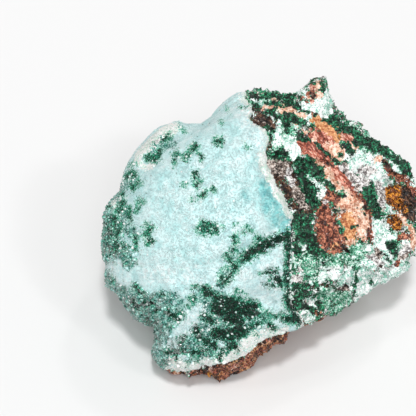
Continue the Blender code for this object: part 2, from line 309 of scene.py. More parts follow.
def piece(name, points, faces, sheet, values, material, smooth=True):
    """An object from points in world millimetres, with its UV map, numbers at each point, and a finish."""
    mesh = bpy.data.meshes.new(name)
    mesh.vertices.add(len(points))
    mesh.vertices.foreach_set("co", (points * MM).astype(np.float32).ravel())
    mesh.loops.add(faces.size)
    mesh.loops.foreach_set("vertex_index", faces.astype(np.int32).ravel())
    mesh.polygons.add(len(faces))
    mesh.polygons.foreach_set("loop_start", np.arange(0, faces.size, faces.shape[1], dtype=np.int32))
    mesh.update(calc_edges=True)
    layer = mesh.uv_layers.new(name="OFBake")
    layer.uv.foreach_set("vector", sheet.astype(np.float32).ravel())
    for kind, numbers in values.items():
        mesh.attributes.new(kind, "FLOAT", "POINT").data.foreach_set("value", numbers.astype(np.float32))
    if smooth:
        mesh.shade_smooth()
    made = bpy.data.objects.new(name, mesh)
    bpy.context.scene.collection.objects.link(made)
    made.data.materials.append(material)
    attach(made, "root")
    return made


SEEN_FROM = 600.0  # millimetres from which the face is seen when the places below are read
SEEN_MIDDLE = np.array((-11.3, 7.3))


def seen(points):
    """Where each point shows on the show plane: nearer points show further from the middle."""
    nearer = SEEN_FROM / (SEEN_FROM - points[:, 2])
    return SEEN_MIDDLE + (points[:, :2] - SEEN_MIDDLE) * nearer[:, None]


RAGGED = [(3.0, 0.35, 21), (1.1, 0.30, 24)]  # how the patches' edges wander: how often, how far, and a seed
DRIFT = (7.5, 7.0, 94)  # how they drift round the stone's sides
DRIFT_BEHIND = (-9.0, 3.0)  # how far out it takes hold
SWIRL = (7.0, 3.5, 91)  # how far what is laid out behind wanders


def wandered(points):
    """Where each point shows, moved about by noise, so that patches marked out there have ragged edges.

    Round the sides it is moved further, so that no patch runs straight back along them.
    """
    drift = (1 - eased(points[:, 2], *DRIFT_BEHIND))[:, None] * moved(points, *DRIFT, 2)
    return seen(points) + drift + sum(moved(points, *octave, 2) for octave in RAGGED)


def inside_share(place, strokes):
    """How far inside a mineral's patches each place is, as a share of the patch's half width: 1 on its path.

    A patch is a stroke of this half width along a path on the show plane. Outside the patches it is below 0.
    """
    return np.maximum.reduce([1 - distance(place, path) / wide for wide, path in strokes])


def swirled(points):
    """The points moved by noise, so that what is laid out by them round the back has no straight edge."""
    return points + moved(points, *SWIRL, 3)


def chips(points, size, seed):
    """The nearest chip's middle to each point, and three numbers from 0 to 1 that are that chip's own."""
    cell = np.floor(points / size).astype(np.int64)
    nearest, middle, own = np.full(len(points), np.inf), points * 0, points * 0
    for step in np.ndindex(3, 3, 3):
        near = cell + step - 1
        here = (near + owned(near, seed)) * size
        far = np.linalg.norm(points - here, axis=1)
        closer = far < nearest
        middle[closer], nearest[closer] = here[closer], far[closer]
        own[closer] = owned(near[closer], seed + 3)
    return middle, own


# Where each mineral shows on the broken face, with painted shade among the dark: a half width, and the points
# that it runs through: right, up.
ROCK_MINERALS = {
    "mint": [
        (1.2, [(13.4, 39.0), (14.2, 37.8)]), (1.6, [(18.0, 35.4), (20.5, 35.8), (21.5, 37.5)]),
        (0.6, [(15.3, 41.3)]), (1.0, [(1.3, 36.0), (2.6, 35.8)]), (1.1, [(6.3, 31.9), (8.0, 31.3)]),
        (0.9, [(8.0, 30.2), (7.7, 28.2), (7.3, 27.2)]), (2.4, [(8.4, 25.8), (11.2, 24.6)]),
        (2.2, [(11.6, 23.6), (12.0, 22.8)]), (1.3, [(11.8, 21.4)]),
        (0.5, [(12.0, 20.4), (12.4, 17.6), (13.0, 15.2)]), (0.8, [(12.8, 34.4)]),
        (0.7, [(1.0, 32.6), (3.6, 32.5)]), (1.0, [(8.5, 10.0), (9.3, 7.6), (10.9, 5.6)]),
        (1.0, [(27.6, -6.8), (30.0, -8.0)]), (1.1, [(17.0, -12.2)]), (1.2, [(24.0, -12.6)]),
        (1.6, [(15.0, 34.7), (16.4, 34.2)]), (0.9, [(15.4, 31.6), (15.6, 30.3)]),
        (2.0, [(19.4, 32.9), (20.3, 32.5)]), (0.7, [(12.6, 28.5)]), (1.8, [(26.5, 20.8), (28.6, 21.2)]),
        (2.8, [(28.4, 19.3), (31.0, 19.6)]), (2.6, [(33.0, 18.0), (34.0, 15.6)]),
        (1.6, [(36.5, 15.6), (37.4, 13.4)]), (0.7, [(34.0, 21.8), (36.5, 21.3), (39.0, 19.3), (40.6, 17.0)]),
        (0.8, [(42.6, 15.0), (44.0, 13.8)]), (2.6, [(34.8, 3.0), (35.6, 0.2), (35.8, -2.6)]),
        (1.0, [(37.8, -0.3)]), (0.9, [(37.5, 7.4), (39.0, 6.3)]), (1.0, [(16.0, 16.0), (17.2, 14.4)]),
        (1.3, [(18.2, 12.6), (19.4, 11.0)]), (0.9, [(11.6, -6.2), (12.6, -7.8)]), (0.6, [(14.4, -3.6)]),
        (0.5, [(10.9, -17.0), (10.6, -19.4)]), (1.3, [(16.2, -17.0), (16.8, -18.2)]),
        (1.6, [(14.2, -22.0), (16.0, -21.9)]), (0.8, [(12.6, -23.2)]), (2.3, [(20.8, -9.0), (22.4, -9.8)]),
        (1.8, [(26.6, -10.4), (26.8, -12.0)]), (1.6, [(30.6, -10.4)]), (1.2, [(32.6, -7.2)]),
        (1.5, [(19.2, -12.0)]), (3.2, [(31.6, -12.4), (36.0, -11.0)]), (1.8, [(37.0, -10.6), (39.6, -9.6)]),
        (1.7, [(29.4, -15.0), (31.6, -15.4)]), (1.0, [(38.2, -6.2)]),
        (1.3, [(33.5, -14.5), (37.0, -12.5), (43.0, -8.5)]),
    ],
    "emerald": [
        (1.0, [(3.2, 36.2), (5.0, 35.9)]), (1.6, [(9.6, 28.0), (11.6, 28.0)]),
        (0.9, [(8.9, 29.2), (8.8, 27.4)]), (0.45, [(5.6, 22.2), (7.2, 23.8), (8.6, 24.5)]),
        (0.5, [(10.4, 21.9)]), (0.9, [(15.8, 16.4), (17.2, 15.2)]), (0.5, [(6.8, 28.0)]),
        (2.2, [(15.6, -7.0), (16.2, -10.8)]), (1.6, [(17.8, -8.8)]), (1.7, [(22.0, -7.0), (24.4, -6.4)]),
        (1.6, [(27.0, -6.4), (28.4, -8.4)]), (2.0, [(30.4, -5.0), (28.4, -3.6)]),
        (2.4, [(20.4, -16.6), (24.4, -16.8)]), (1.0, [(22.0, -20.2), (24.0, -19.4)]),
        (1.2, [(31.0, 26.0), (33.5, 26.0)]), (0.8, [(30.5, 23.8)]), (0.8, [(14.2, 9.8)]),
        (0.9, [(39.6, 20.6), (41.4, 18.9)]),
    ],
    "quartz": [
        (1.6, [(25.5, 17.8), (27.0, 16.2)]), (1.5, [(30.0, 17.5), (33.0, 17.2)]),
        (1.8, [(28.6, 14.9), (31.0, 14.2)]), (1.3, [(34.5, 13.8), (35.5, 11.5), (35.4, 9.0)]),
        (1.0, [(10.6, 17.2), (11.0, 15.0), (11.5, 13.4)]), (0.7, [(13.6, -9.3)]),
        (1.2, [(11.9, -11.6), (13.6, -11.8)]), (0.9, [(10.2, -12.6)]), (1.3, [(42.4, -2.8), (41.4, -5.0)]),
        (1.2, [(32.0, -5.6), (35.0, -7.6)]), (1.0, [(36.6, -9.0)]),
    ],
    "salmon": [
        (0.75, [(3.9, 34.8), (6.5, 34.4)]), (1.1, [(8.5, 34.0), (11.5, 33.5)]),
        (0.7, [(13.0, 32.5), (14.6, 32.1)]), (0.5, [(5.8, 36.4), (7.5, 35.9)]),
        (0.45, [(12.2, 30.0), (13.6, 28.6), (14.8, 27.6)]), (0.5, [(16.5, 27.6), (17.8, 25.2)]),
        (1.2, [(18.4, 40.9), (18.0, 39.8)]), (0.9, [(18.8, 38.4), (19.2, 37.2)]), (0.8, [(15.6, 37.4)]),
        (2.0, [(21.6, 24.2), (23.6, 22.8), (24.2, 21.8)]), (0.9, [(27.6, 24.3), (28.3, 22.9)]),
        (0.9, [(17.6, 20.4), (19.4, 18.8)]), (1.6, [(20.8, 17.4), (22.2, 15.4)]),
        (1.2, [(22.4, 14.6), (23.8, 13.0)]), (0.8, [(25.8, 12.2), (26.8, 11.6)]),
        (2.6, [(26.4, 8.6), (28.6, 6.4)]), (2.0, [(29.6, 5.4), (30.6, 2.0)]), (1.8, [(30.2, 0.0)]),
        (1.0, [(26.2, -1.6), (28.0, -2.2)]), (0.8, [(40.6, 5.0), (42.4, 2.4), (43.6, 1.0)]),
        (0.9, [(43.6, -0.8), (44.0, -3.0)]), (0.5, [(15.6, -24.4), (13.4, -25.0)]),
        (0.8, [(32.8, 20.4), (35.0, 20.7)]),
    ],
    "ochre": [
        (1.7, [(18.0, 31.2), (20.0, 29.5), (22.0, 28.6)]), (1.2, [(17.4, 31.8)]),
        (1.6, [(21.0, 28.4), (23.4, 26.6)]), (2.3, [(26.4, 4.6), (27.6, 2.6), (27.4, -0.2)]),
        (1.0, [(24.2, -2.4), (21.6, -3.4)]),
    ],
    "gold": [
        (2.3, [(38.2, 11.6), (40.0, 9.0)]), (1.6, [(37.6, 12.5)]), (1.7, [(38.9, 4.0), (39.4, 2.6)]),
        (1.2, [(41.5, 7.0)]), (0.8, [(24.1, 26.6)]),
    ],
    "red": [
        (0.5, [(15.3, 35.8)]), (0.7, [(15.6, 38.4), (16.4, 38.6)]), (0.6, [(16.6, 33.0)]),
        (0.9, [(27.8, 11.4), (29.8, 10.2), (31.4, 8.0), (32.4, 5.6)]),
        (0.9, [(32.8, 4.6), (32.4, 1.0), (32.0, -1.4)]), (1.6, [(21.0, 10.8), (23.0, 9.6)]),
        (2.8, [(20.0, 6.0), (21.6, 1.0)]), (2.6, [(20.6, -1.6), (23.4, -2.2)]), (1.5, [(22.0, -4.0)]),
        (1.4, [(24.8, -1.0)]), (1.2, [(18.6, 2.4), (18.8, -1.4)]),
        (0.9, [(36.6, 18.6), (38.8, 16.2), (40.4, 14.8)]),
        (1.1, [(40.6, 16.2), (42.6, 14.6), (43.8, 12.6), (44.5, 8.0)]),
        (0.7, [(17.8, -21.0), (19.2, -21.0)]), (0.5, [(13.2, -23.6), (14.8, -23.8)]),
        (1.0, [(40.6, -0.4), (42.6, -0.6)]), (0.6, [(39.0, -8.3), (41.0, -6.6)]),
        (0.9, [(20.6, 19.9), (21.6, 18.8)]),
    ],
    "brick": [
        (1.0, [(14.0, 37.3)]), (0.8, [(16.8, 36.2)]), (0.8, [(16.6, 39.9), (17.2, 39.0)]),
        (0.4, [(18.2, 37.8)]), (0.45, [(9.2, 35.3)]), (0.7, [(14.0, 32.4)]), (0.6, [(16.9, 32.9)]),
        (2.0, [(18.4, 27.6), (20.5, 26.2), (21.6, 25.0)]), (1.5, [(20.2, 23.8)]), (0.8, [(16.2, 26.4)]),
        (1.4, [(25.0, 26.9), (26.8, 26.2)]), (1.5, [(14.2, 25.0), (16.0, 22.8), (18.2, 20.8)]),
        (1.3, [(16.8, 24.0), (19.2, 21.8), (21.0, 19.8)]),
        (1.2, [(21.6, 19.4), (23.6, 16.8), (25.6, 14.4), (27.6, 11.8)]),
    ],
    "grey": [
        (0.5, [(1.6, 30.7), (5.0, 29.8)]), (2.0, [(6.2, 18.9), (9.4, 18.6)]), (1.1, [(4.9, 18.9)]),
        (1.5, [(6.8, 17.4), (9.2, 17.0)]), (1.6, [(12.0, 12.0), (13.4, 10.4), (15.0, 8.0)]),
        (0.8, [(34.4, -4.0), (34.8, -6.4)]), (0.9, [(23.8, -14.4), (26.2, -14.6)]), (0.7, [(26.0, -13.4)]),
        (0.7, [(37.4, -8.6)]), (0.8, [(40.8, -6.2), (43.0, -4.6)]), (0.5, [(24.5, 6.1), (25.5, 6.1)]),
        (0.45, [(27.7, 7.7)]), (0.7, [(29.4, 13.2)]), (0.6, [(25.8, 18.6)]),
    ],
    # Dark: the ore's own dark grains and inclusion, and painted shade in the strip behind the raised rim and
    # down the cavity's right side.
    "dark": [
        (1.8, [(2.0, 31.2), (4.8, 30.4)]), (1.4, [(5.8, 29.6)]), (0.8, [(1.3, 33.6), (2.6, 33.4)]),
        (0.5, [(-0.8, 33.3)]), (0.7, [(17.0, 37.6)]), (1.4, [(7.0, 15.4), (8.6, 15.0)]),
        (1.1, [(9.0, 13.8), (10.8, 10.8)]), (0.45, [(10.6, 20.0), (11.3, 18.0), (11.9, 15.8), (12.6, 13.6)]),
        (1.1, [(11.6, 8.0), (13.4, 6.6), (15.8, 6.4)]), (0.6, [(36.0, 20.0), (37.6, 18.2), (39.2, 16.6)]),
        (2.3, [(42.4, 11.0), (43.8, 8.4)]), (1.5, [(42.6, 5.2), (44.0, 5.0)]),
        (0.45, [(15.4, -13.8), (18.0, -13.8), (21.0, -13.2), (22.2, -12.5)]),
        (0.6, [(33.8, -9.2), (35.2, -8.7)]), (0.5, [(31.2, 8.0), (32.2, 6.2)]), (0.6, [(28.7, 15.4)]),
        (0.5, [(34.3, 14.3)]), (0.45, [(20.6, 19.6), (22.4, 18.8)]), (0.5, [(23.0, -19.5)]),
        (0.8, [(25.8, -3.8)]),
    ],
    "malachite": [
        (0.8, [(0.5, 37.3), (3.0, 37.3), (5.0, 36.8)]), (1.0, [(6.0, 37.4), (9.0, 37.3), (11.3, 37.0)]),
        (0.7, [(4.3, 36.3), (4.6, 35.7)]), (0.45, [(6.0, 35.5), (9.0, 35.1), (13.5, 35.2)]),
        (0.9, [(11.0, 36.0)]), (0.55, [(-2.3, 34.4), (0.0, 34.5), (2.4, 34.6)]),
        (0.5, [(3.8, 33.5), (4.6, 32.7)]), (0.9, [(5.5, 33.6), (7.0, 33.6)]),
        (0.5, [(6.4, 32.2), (7.4, 32.0)]), (0.6, [(12.0, 34.8), (15.5, 33.0)]),
        (0.9, [(9.8, 32.9), (11.6, 32.3)]), (0.8, [(9.6, 31.5), (12.4, 30.7), (14.4, 30.4)]),
        (0.5, [(8.5, 32.0), (9.5, 31.0)]), (0.5, [(16.0, 30.0), (16.8, 29.2)]), (0.7, [(12.0, 27.6)]),
        (0.8, [(9.4, 28.2)]), (0.9, [(10.4, 29.8), (9.2, 30.0)]), (0.5, [(11.5, 26.4)]),
        (0.6, [(12.8, 27.3), (14.3, 25.6)]), (1.5, [(6.6, 21.8), (8.2, 22.7)]), (0.9, [(8.3, 23.6)]),
        (1.4, [(8.6, 21.3), (9.6, 21.3)]), (0.6, [(4.0, 28.8), (5.2, 27.6)]), (0.4, [(6.7, 28.0)]),
        (0.55, [(15.4, 25.6), (17.0, 25.0)]), (0.4, [(15.2, 23.4)]), (0.5, [(16.2, 21.0)]),
        (0.4, [(18.3, 21.6)]), (0.6, [(18.0, 24.8), (20.0, 22.6), (21.8, 21.2)]), (0.8, [(17.6, 32.4)]),
        (0.7, [(19.8, 31.5), (21.5, 31.0), (23.5, 30.5)]), (0.6, [(17.3, 41.4)]),
        (0.6, [(19.3, 41.3), (20.0, 39.8), (19.5, 38.8)]), (1.3, [(25.2, 23.9), (26.5, 23.5)]),
        (0.8, [(27.6, 22.4)]), (0.8, [(24.4, 21.4)]), (1.0, [(25.6, 19.8)]),
        (0.6, [(22.8, 20.4), (24.2, 19.2)]), (1.6, [(22.0, 31.0), (26.0, 28.4), (29.0, 27.0)]),
        (2.0, [(29.0, 25.8), (31.0, 25.0), (34.0, 24.2)]), (1.5, [(34.8, 23.4), (37.0, 22.0)]),
        (1.0, [(38.0, 21.2), (40.8, 19.6)]), (1.6, [(41.8, 18.2), (43.6, 16.8)]),
        (1.9, [(32.2, 12.2), (32.8, 9.6)]), (1.4, [(33.8, 7.6), (34.6, 5.4)]), (0.6, [(32.4, 14.0)]),
        (1.5, [(13.4, 19.8), (13.2, 17.6), (14.0, 15.0)]), (2.0, [(16.0, 18.6), (18.4, 17.6)]),
        (1.3, [(17.6, 16.4)]), (0.9, [(15.8, 20.3)]), (2.3, [(15.2, 13.0), (16.6, 11.0)]),
        (1.7, [(16.2, 9.4), (17.6, 8.6)]), (0.8, [(20.5, 13.6), (22.6, 12.6)]), (0.8, [(19.4, 15.0)]),
        (2.2, [(13.0, 4.4), (14.6, 2.4)]), (2.0, [(13.6, 0.0), (16.6, -1.0)]),
        (1.4, [(17.8, -3.6), (15.8, -3.8)]), (0.8, [(16.6, 4.4)]), (1.6, [(10.6, -3.8), (13.0, -4.4)]),
        (1.3, [(10.0, -6.6), (11.0, -9.0)]), (1.2, [(10.4, -14.4), (12.6, -14.2)]),
        (1.5, [(14.0, -15.6), (15.4, -15.8)]), (1.6, [(12.4, -17.4), (13.4, -19.4)]),
        (1.2, [(15.4, -19.6), (16.8, -20.4)]), (0.6, [(10.0, -16.0), (10.0, -20.0)]),
        (1.3, [(11.0, -21.5), (9.5, -22.5)]), (0.9, [(11.8, -23.0)]), (1.0, [(19.4, -5.0), (17.0, -4.4)]),
        (0.9, [(18.0, -18.0), (19.6, -19.6)]), (0.4, [(28.4, -10.4), (28.3, -12.8)]), (0.5, [(28.0, -13.6)]),
        (0.6, [(28.2, -9.2)]), (0.9, [(32.6, -12.2), (33.0, -13.2)]), (0.7, [(28.4, -15.4)]),
        (1.6, [(37.6, -2.8), (38.6, -3.8)]), (1.0, [(39.2, -4.6)]), (0.6, [(36.6, -6.0), (37.4, -6.8)]),
        (0.5, [(27.8, 2.0), (28.9, 2.3)]), (0.75, [(29.9, -1.7)]), (0.55, [(31.9, -0.8)]),
        (0.45, [(23.3, 6.5)]), (0.55, [(24.6, 10.4), (25.3, 10.2)]), (0.4, [(24.7, 11.6)]),
        (0.45, [(23.3, 4.4)]), (0.8, [(24.2, 1.0)]), (0.4, [(26.1, -0.4)]), (0.4, [(30.8, 5.8)]),
        (0.35, [(27.1, 9.6)]), (0.35, [(28.8, 7.1)]), (0.4, [(20.8, 3.2)]), (0.4, [(19.1, 5.0)]),
        (0.35, [(28.2, 11.0)]),
    ],
}
# How the rock is made up away from the broken face: sheets of one mineral in the bands that slope through the
# stone. Each mineral has a seed, how long its patches are, and how much of the rock it takes.
BAND_NORMAL = np.array((0.79, 0.61, 0.10))
BAND_THIN = 0.62  # how much thinner than long they are
ROCK_MAKE_UP = {
    "mint": (31, 9.0, 0.10), "emerald": (30, 6.0, -0.15), "quartz": (38, 7.0, -0.30),
    "salmon": (32, 8.0, -0.30), "ochre": (33, 8.0, -0.35), "gold": (39, 6.0, -0.60), "red": (34, 10.0, 0.05),
    "brick": (50, 8.0, -0.25), "grey": (35, 8.0, -0.15), "dark": (36, 7.0, -0.30),
    "malachite": (37, 7.0, 0.0),
}
MOTTLE = {  # the small mixture that fills the broken face between its patches
    "mint": (41, 1.8, 0.26), "emerald": (40, 1.5, 0.20), "quartz": (48, 1.6, -0.20),
    "salmon": (42, 2.0, -1.0), "ochre": (43, 2.0, -1.5), "gold": (49, 2.0, -2.0), "red": (44, 2.0, -0.9),
    "brick": (54, 2.0, -1.2), "grey": (45, 1.6, -0.35), "dark": (46, 1.1, -0.30),
    "malachite": (47, 1.2, 0.55),
}
# How much less of each there is in the mottle of the face's upper part, and of its lower right part.
MOTTLE_ABOVE = {"mint": 0.5, "emerald": 0.3, "malachite": 0.3}
MOTTLE_RIGHT = {"mint": -0.5, "malachite": 0.5, "dark": 0.3}
# How much of each the iron-stained foot has. The others have hardly any.
IRON = {
    "quartz": -0.4, "salmon": 0.4, "ochre": 1.0, "gold": 0.3, "red": 1.2, "brick": 0.8, "grey": -0.2,
    "dark": 1.3,
}
# How strong a patch is on its path, and the most it comes to, so that spots of other minerals show on it.
HEART = {"malachite": 4.0, "dark": 3.2, "gold": 3.2, "grey": 3.2}
MOST = {"mint": 0.7, "emerald": 0.85, "salmon": 1.0, "ochre": 1.0, "red": 1.0, "brick": 1.0}
PLAIN_HEART, PLAIN_IRON, STRONGEST = 2.4, -1.5, 2.5  # those of every other mineral, and the most of any
FACE_FRONT = (-8.0, -1.0)  # how far out the broken face's patches take over from the bands
UPPER, RIGHT_PART = (-5.0, 4.0), (25.0, 30.0)  # where the face's upper part, and its right part, begin
FOOT_EDGE = (-1.2, 0.6)  # how far below the crust's edge the stained foot begins
CHIPPED = [(1.3, 0.55, 25), (0.65, 0.5, 29)]  # the chips of one mineral each: how wide, how wholly, a seed


def rock_minerals(points):
    """How strong each mineral is at each point of the rock, in millimetres: the strongest shows there.

    On the broken face it is the named patches, or a small mottle. Round the sides and the back it is noise,
    drawn out along the bands, and the foot is iron-stained all over. Each point takes after the middle of the
    chip that it is in, so that the borders run along the chips' edges.
    """
    for size, share, seed in CHIPPED:
        points = points + share * (chips(points, size, seed)[0] - points)
    front = eased(points[:, 2], *FACE_FRONT)
    swirl = swirled(points)
    bands = swirl + BAND_THIN * (swirl @ BAND_NORMAL)[:, None] * BAND_NORMAL
    foot = 1 - eased(-under_base(points), *FOOT_EDGE)
    place, above = wandered(points), eased(points[:, 1], *UPPER)
    right = eased(points[:, 0], *RIGHT_PART) * (1 - above)
    strengths = {}
    for kind, strokes in ROCK_MINERALS.items():
        seed, size, share = ROCK_MAKE_UP[kind]
        wild = 1.6 * (noise(bands, size, seed) + 0.5 * noise(swirl, size * 0.37, seed + 10) + share)
        seed, size, share = MOTTLE[kind]
        share = share - MOTTLE_ABOVE.get(kind, 0.0) * above - MOTTLE_RIGHT.get(kind, 0.0) * right
        mottle = 0.9 * (noise(points, size, seed) + 0.6 * noise(points, size * 0.4, seed + 10) + share) - 0.5
        face = HEART.get(kind, PLAIN_HEART) * inside_share(place, strokes)
        face = np.maximum(np.minimum(face, MOST.get(kind, STRONGEST)), mottle)
        strengths[kind] = np.clip(wild + (face - wild) * front, -STRONGEST, STRONGEST)
        iron = 1.4 * noise(points, 1.8, seed + 20) + 0.6 * noise(points, 0.8, seed + 21)
        iron += IRON.get(kind, PLAIN_IRON)
        strengths[kind] += foot * (iron - strengths[kind])
    return strengths


ROCK_CELLS = 127
ROCK_FINE_SIDE, ROCK_FINER = (0.62, 0.02, 0.78), 0.62  # the side whose cells are finer, and how much
ROCK_SINKS = (0.2, 1.2)  # how far inside the crust's edge the rock sinks below it
CRUST = 3.3  # how thick the crust is
ROCK_UNDER = 0.9  # how far below the crust's inner side the rock lies, so that they never touch
FOOT_SET_BACK = 0.9  # how far the foot stands back under the crust's edge
# Its roughness: how far apart, how tall, and a seed. The flat chips that it breaks into: how wide, how steep.
ROCK_GRAIN = [(3.1, 0.42, 51), (1.3, 0.24, 52), (0.62, 0.13, 53)]
CHIPS = [(3.6, 0.34, 55), (1.3, 0.50, 25)]
# How far each mineral stands out of the break, and how rough it breaks.
PROUD = {
    "mint": (0.1, 0.9), "emerald": (0.1, 1.1), "quartz": (0.0, 0.8), "salmon": (0.2, 0.25),
    "ochre": (0.1, 0.4), "gold": (-0.4, 1.5), "red": (0.0, 0.6), "brick": (0.1, 0.5), "grey": (-0.3, 1.0),
    "dark": (-0.6, 1.2), "malachite": (0.2, 1.1),
}
KNOB, KNOB_WIDE = (17.5, 38.5), 5.0  # the thin top knob, where the rock is smoother


def strongest_of(strengths):
    """The number of whichever mineral is the strongest at each point."""
    return np.argmax(np.stack(list(strengths.values())), axis=0)


def rough(points, octaves):
    """Broken roughness: for each octave, the noise folded at its middle, so that it has sharp ridges."""
    return sum(tall * (0.55 - 1.6 * np.abs(noise(points, size, seed))) for size, tall, seed in octaves)


def facets(points, size, steep, seed):
    """Flat chips: each point takes the height of its nearest chip's tilted plane."""
    middle, tilt = chips(points, size, seed)
    return 2 * steep * ((points - middle) * (tilt - 0.5)).sum(axis=1)


direction, faces, sheet = ball(ROCK_CELLS, ROCK_FINE_SIDE, ROCK_FINER)
shape = stone(direction, True)
strengths = rock_minerals(shape)
raised, roughness = np.array([PROUD[kind] for kind in strengths])[strongest_of(strengths)].T
inside = under_crust(shape)
normals = facing_out(shape, faces)
height = rough(shape, ROCK_GRAIN) + sum(facets(shape, *chip) for chip in CHIPS)
knob = np.exp(-(distance(shape[:, :2], [KNOB]) / KNOB_WIDE) ** 2)
calm = (1 - 0.6 * knob) * (0.45 + 0.55 * eased(shape[:, 2], -9.0, 0.0))
foot = eased(under_base(shape), -0.4, 0.4) * eased(shape[:, 2], 0.0, 6.0)
height = (raised + roughness * height) * calm * (1 + 0.7 * foot) - 0.15
height -= eased(inside, *ROCK_SINKS) * (CRUST + ROCK_UNDER)
height -= FOOT_SET_BACK * foot
rock_shape = shape + normals * height[:, None]
rock_faces = faces


class Value:
    """A number at each point of a material. Arithmetic on it adds the Math nodes that work it out."""

    def __init__(self, finish, socket):
        self.finish, self.socket = finish, socket

    def math(self, operation, *others):
        return self.finish.node("Math", {"operation": operation}, dict(enumerate([self, *others])))

    def __add__(self, other):
        return self.math("ADD", other)

    def __mul__(self, other):
        return self.math("MULTIPLY", other)

    def __sub__(self, other):
        return self.math("SUBTRACT", other)

    def __rsub__(self, other):
        return self.finish.node("Math", {"operation": "SUBTRACT"}, {0: other, 1: self})

    __radd__, __rmul__ = __add__, __mul__

    def over(self, low, high):
        """0 below low, 1 above high, and a smooth step between."""
        sockets = {"Value": self, "From Min": low, "From Max": high}
        return self.finish.node("MapRange", {"interpolation_type": "SMOOTHSTEP"}, sockets)


STREAK = (0.62, -0.58, -0.52)  # the way that the red and salmon bands run through the rock
DRAWN_OUT = 0.6  # 1 draws a pattern out along them without end
STREAKY = ("brick", "dark")  # the minerals whose mixture is drawn out so


class Finish:
    """A material being made. Its shader's constants are given by name, and node() adds every node."""

    def __init__(self, name, **constants):
        self.material = bpy.data.materials.new(name)
        self.material.use_nodes = True
        self.nodes = self.material.node_tree.nodes
        self.shader = self.nodes["Principled BSDF"]
        for key, value in constants.items():
            self.shader.inputs[key.replace("_", " ")].default_value = value
        self.place = self.node("TexCoord", {}, {}, "Object")
        along = self.node("VectorMath", {"operation": "DOT_PRODUCT"}, {0: self.place, 1: STREAK}, "Value")
        drawn = self.node("VectorMath", {"operation": "SCALE"}, {0: STREAK, "Scale": along * DRAWN_OUT})
        self.streaked = self.node("VectorMath", {"operation": "SUBTRACT"}, {0: self.place, 1: drawn})

    def node(self, kind, settings, sockets, result=0):
        """Adds a node with these settings, feeds its sockets, and gives one of its results."""
        node = self.nodes.new("ShaderNode" + kind)
        for key, value in settings.items():
            setattr(node, key, value)
        for key, value in sockets.items():
            named = [socket for socket in node.inputs if key in (socket.name, socket.identifier)]
            self.feed(named[0] if named else node.inputs[key], value)
        named = [socket for socket in node.outputs if result in (socket.name, socket.identifier)]
        return Value(self, named[0] if named else node.outputs[result])

    def feed(self, socket, value):
        """Links a Value to a socket, or sets the socket's own number or colour."""
        if isinstance(value, Value):
            self.material.node_tree.links.new(value.socket, socket)
        elif socket.type == "RGBA":
            socket.default_value = (*value, 1.0)
        else:
            socket.default_value = value

    def grain(self, size, detail=2.0, seed=0.0, result="Fac", place=None):
        """Noise from 0 to 1 with features about this many millimetres across."""
        sockets = {"Vector": place or self.place, "W": seed, "Scale": 1 / (size * MM), "Detail": detail}
        return self.node("TexNoise", {"noise_dimensions": "4D"}, sockets, result)

    def number(self, name):
        """A number that the mesh holds at each point."""
        return self.node("Attribute", {"attribute_name": name}, {}, "Fac")

    def mix(self, share, low, high):
        """One colour below, the other above, by share."""
        sockets = {"Factor_Float": share, "A_Color": low, "B_Color": high}
        return self.node("Mix", {"data_type": "RGBA"}, sockets, "Result_Color")


def screen(red, green, blue):
    """A colour given as a screen shows it, 0 to 255, as the light that it stands for."""
    return tuple((part / 255 / 12.92) if part < 11 else ((part / 255 + 0.055) / 1.055) ** 2.4
                 for part in (red, green, blue))


DARK_TONE, LIGHT_TONE = (0.42, 0.47), (0.53, 0.58)  # where the dark tone ends, and where the light one begins
BORDER_FINE, BORDER_COARSE = 0.42, 1.4  # how often the borders are broken up, in millimetres


def shown(finish, colours, edges, base, tone_shift, deeper):
    """The colour of whichever mineral is strongest at each point, with the borders between them broken up.

    Each mineral is a mixture of three tones. The first one in the list is the ground that the others have to
    beat, at its own number or at the base. Malachite is this much deeper in the middle of its patches.
    """
    best, colour = base, None
    for number, (kind, (dark, middle, light, size)) in enumerate(colours.items()):
        where = finish.streaked if kind in STREAKY else finish.place
        tone = finish.grain(size * 2.5, 2.0, number * 5.0 + 1.0, place=where) * 0.6
        tone += finish.grain(size * 0.7, 3.0, number * 5.0 + 2.0, place=where) * 0.8 - 0.2 + tone_shift
        if kind == "malachite":
            tone = tone - finish.number(kind).over(0.1, 1.6) * deeper
        own = finish.mix(tone.over(*DARK_TONE), screen(*dark), screen(*middle))
        own = finish.mix(tone.over(*LIGHT_TONE), own, screen(*light))
        if colour is None:
            colour, best = own, finish.number(kind) if best is None else best
            continue
        wander = finish.grain(BORDER_FINE, 3.0, number * 7.0)
        wander += finish.grain(BORDER_COARSE, 2.0, number * 7.0 + 3.0) * 0.7
        strength = finish.number(kind) + (wander - 0.85) * (2 * edges[kind][0])
        colour = finish.mix((strength - best).over(-edges[kind][1], edges[kind][1]), colour, own)
        best = best.math("MAXIMUM", strength)
    return colour


# Each mineral of the rock: its dark, middle and light tones, as a screen shows them, and how many millimetres
# its mixture runs over.
ROCK_COLOURS = {
    "mint": ((142, 198, 180), (234, 246, 242), (254, 255, 254), 0.7),
    "emerald": ((0, 84, 52), (96, 184, 150), (226, 244, 236), 0.5),
    "quartz": ((104, 96, 96), (212, 207, 204), (250, 249, 247), 0.6),
    "salmon": ((184, 116, 88), (230, 186, 159), (250, 226, 209), 0.8),
    "ochre": ((164, 88, 48), (208, 144, 94), (240, 188, 138), 0.8),
    "gold": ((22, 8, 2), (136, 70, 18), (242, 166, 60), 0.6),
    "red": ((36, 14, 10), (118, 58, 40), (206, 134, 104), 0.5),
    "brick": ((112, 50, 36), (186, 104, 82), (234, 184, 164), 0.6),
    "grey": ((40, 32, 30), (134, 118, 108), (222, 210, 202), 0.7),
    # dark grains, and the painted shade behind the rim and in the cavity
    "dark": ((6, 3, 3), (40, 23, 17), (118, 84, 64), 0.5),
    "malachite": ((0, 20, 11), (4, 86, 54), (72, 176, 130), 0.5),
}
# How far the mineral's border is broken up, and how soft it is, in millimetres.
ROCK_EDGES = dict.fromkeys(ROCK_COLOURS, (1.5, 0.05))
ROCK_DEEPER = 0.07


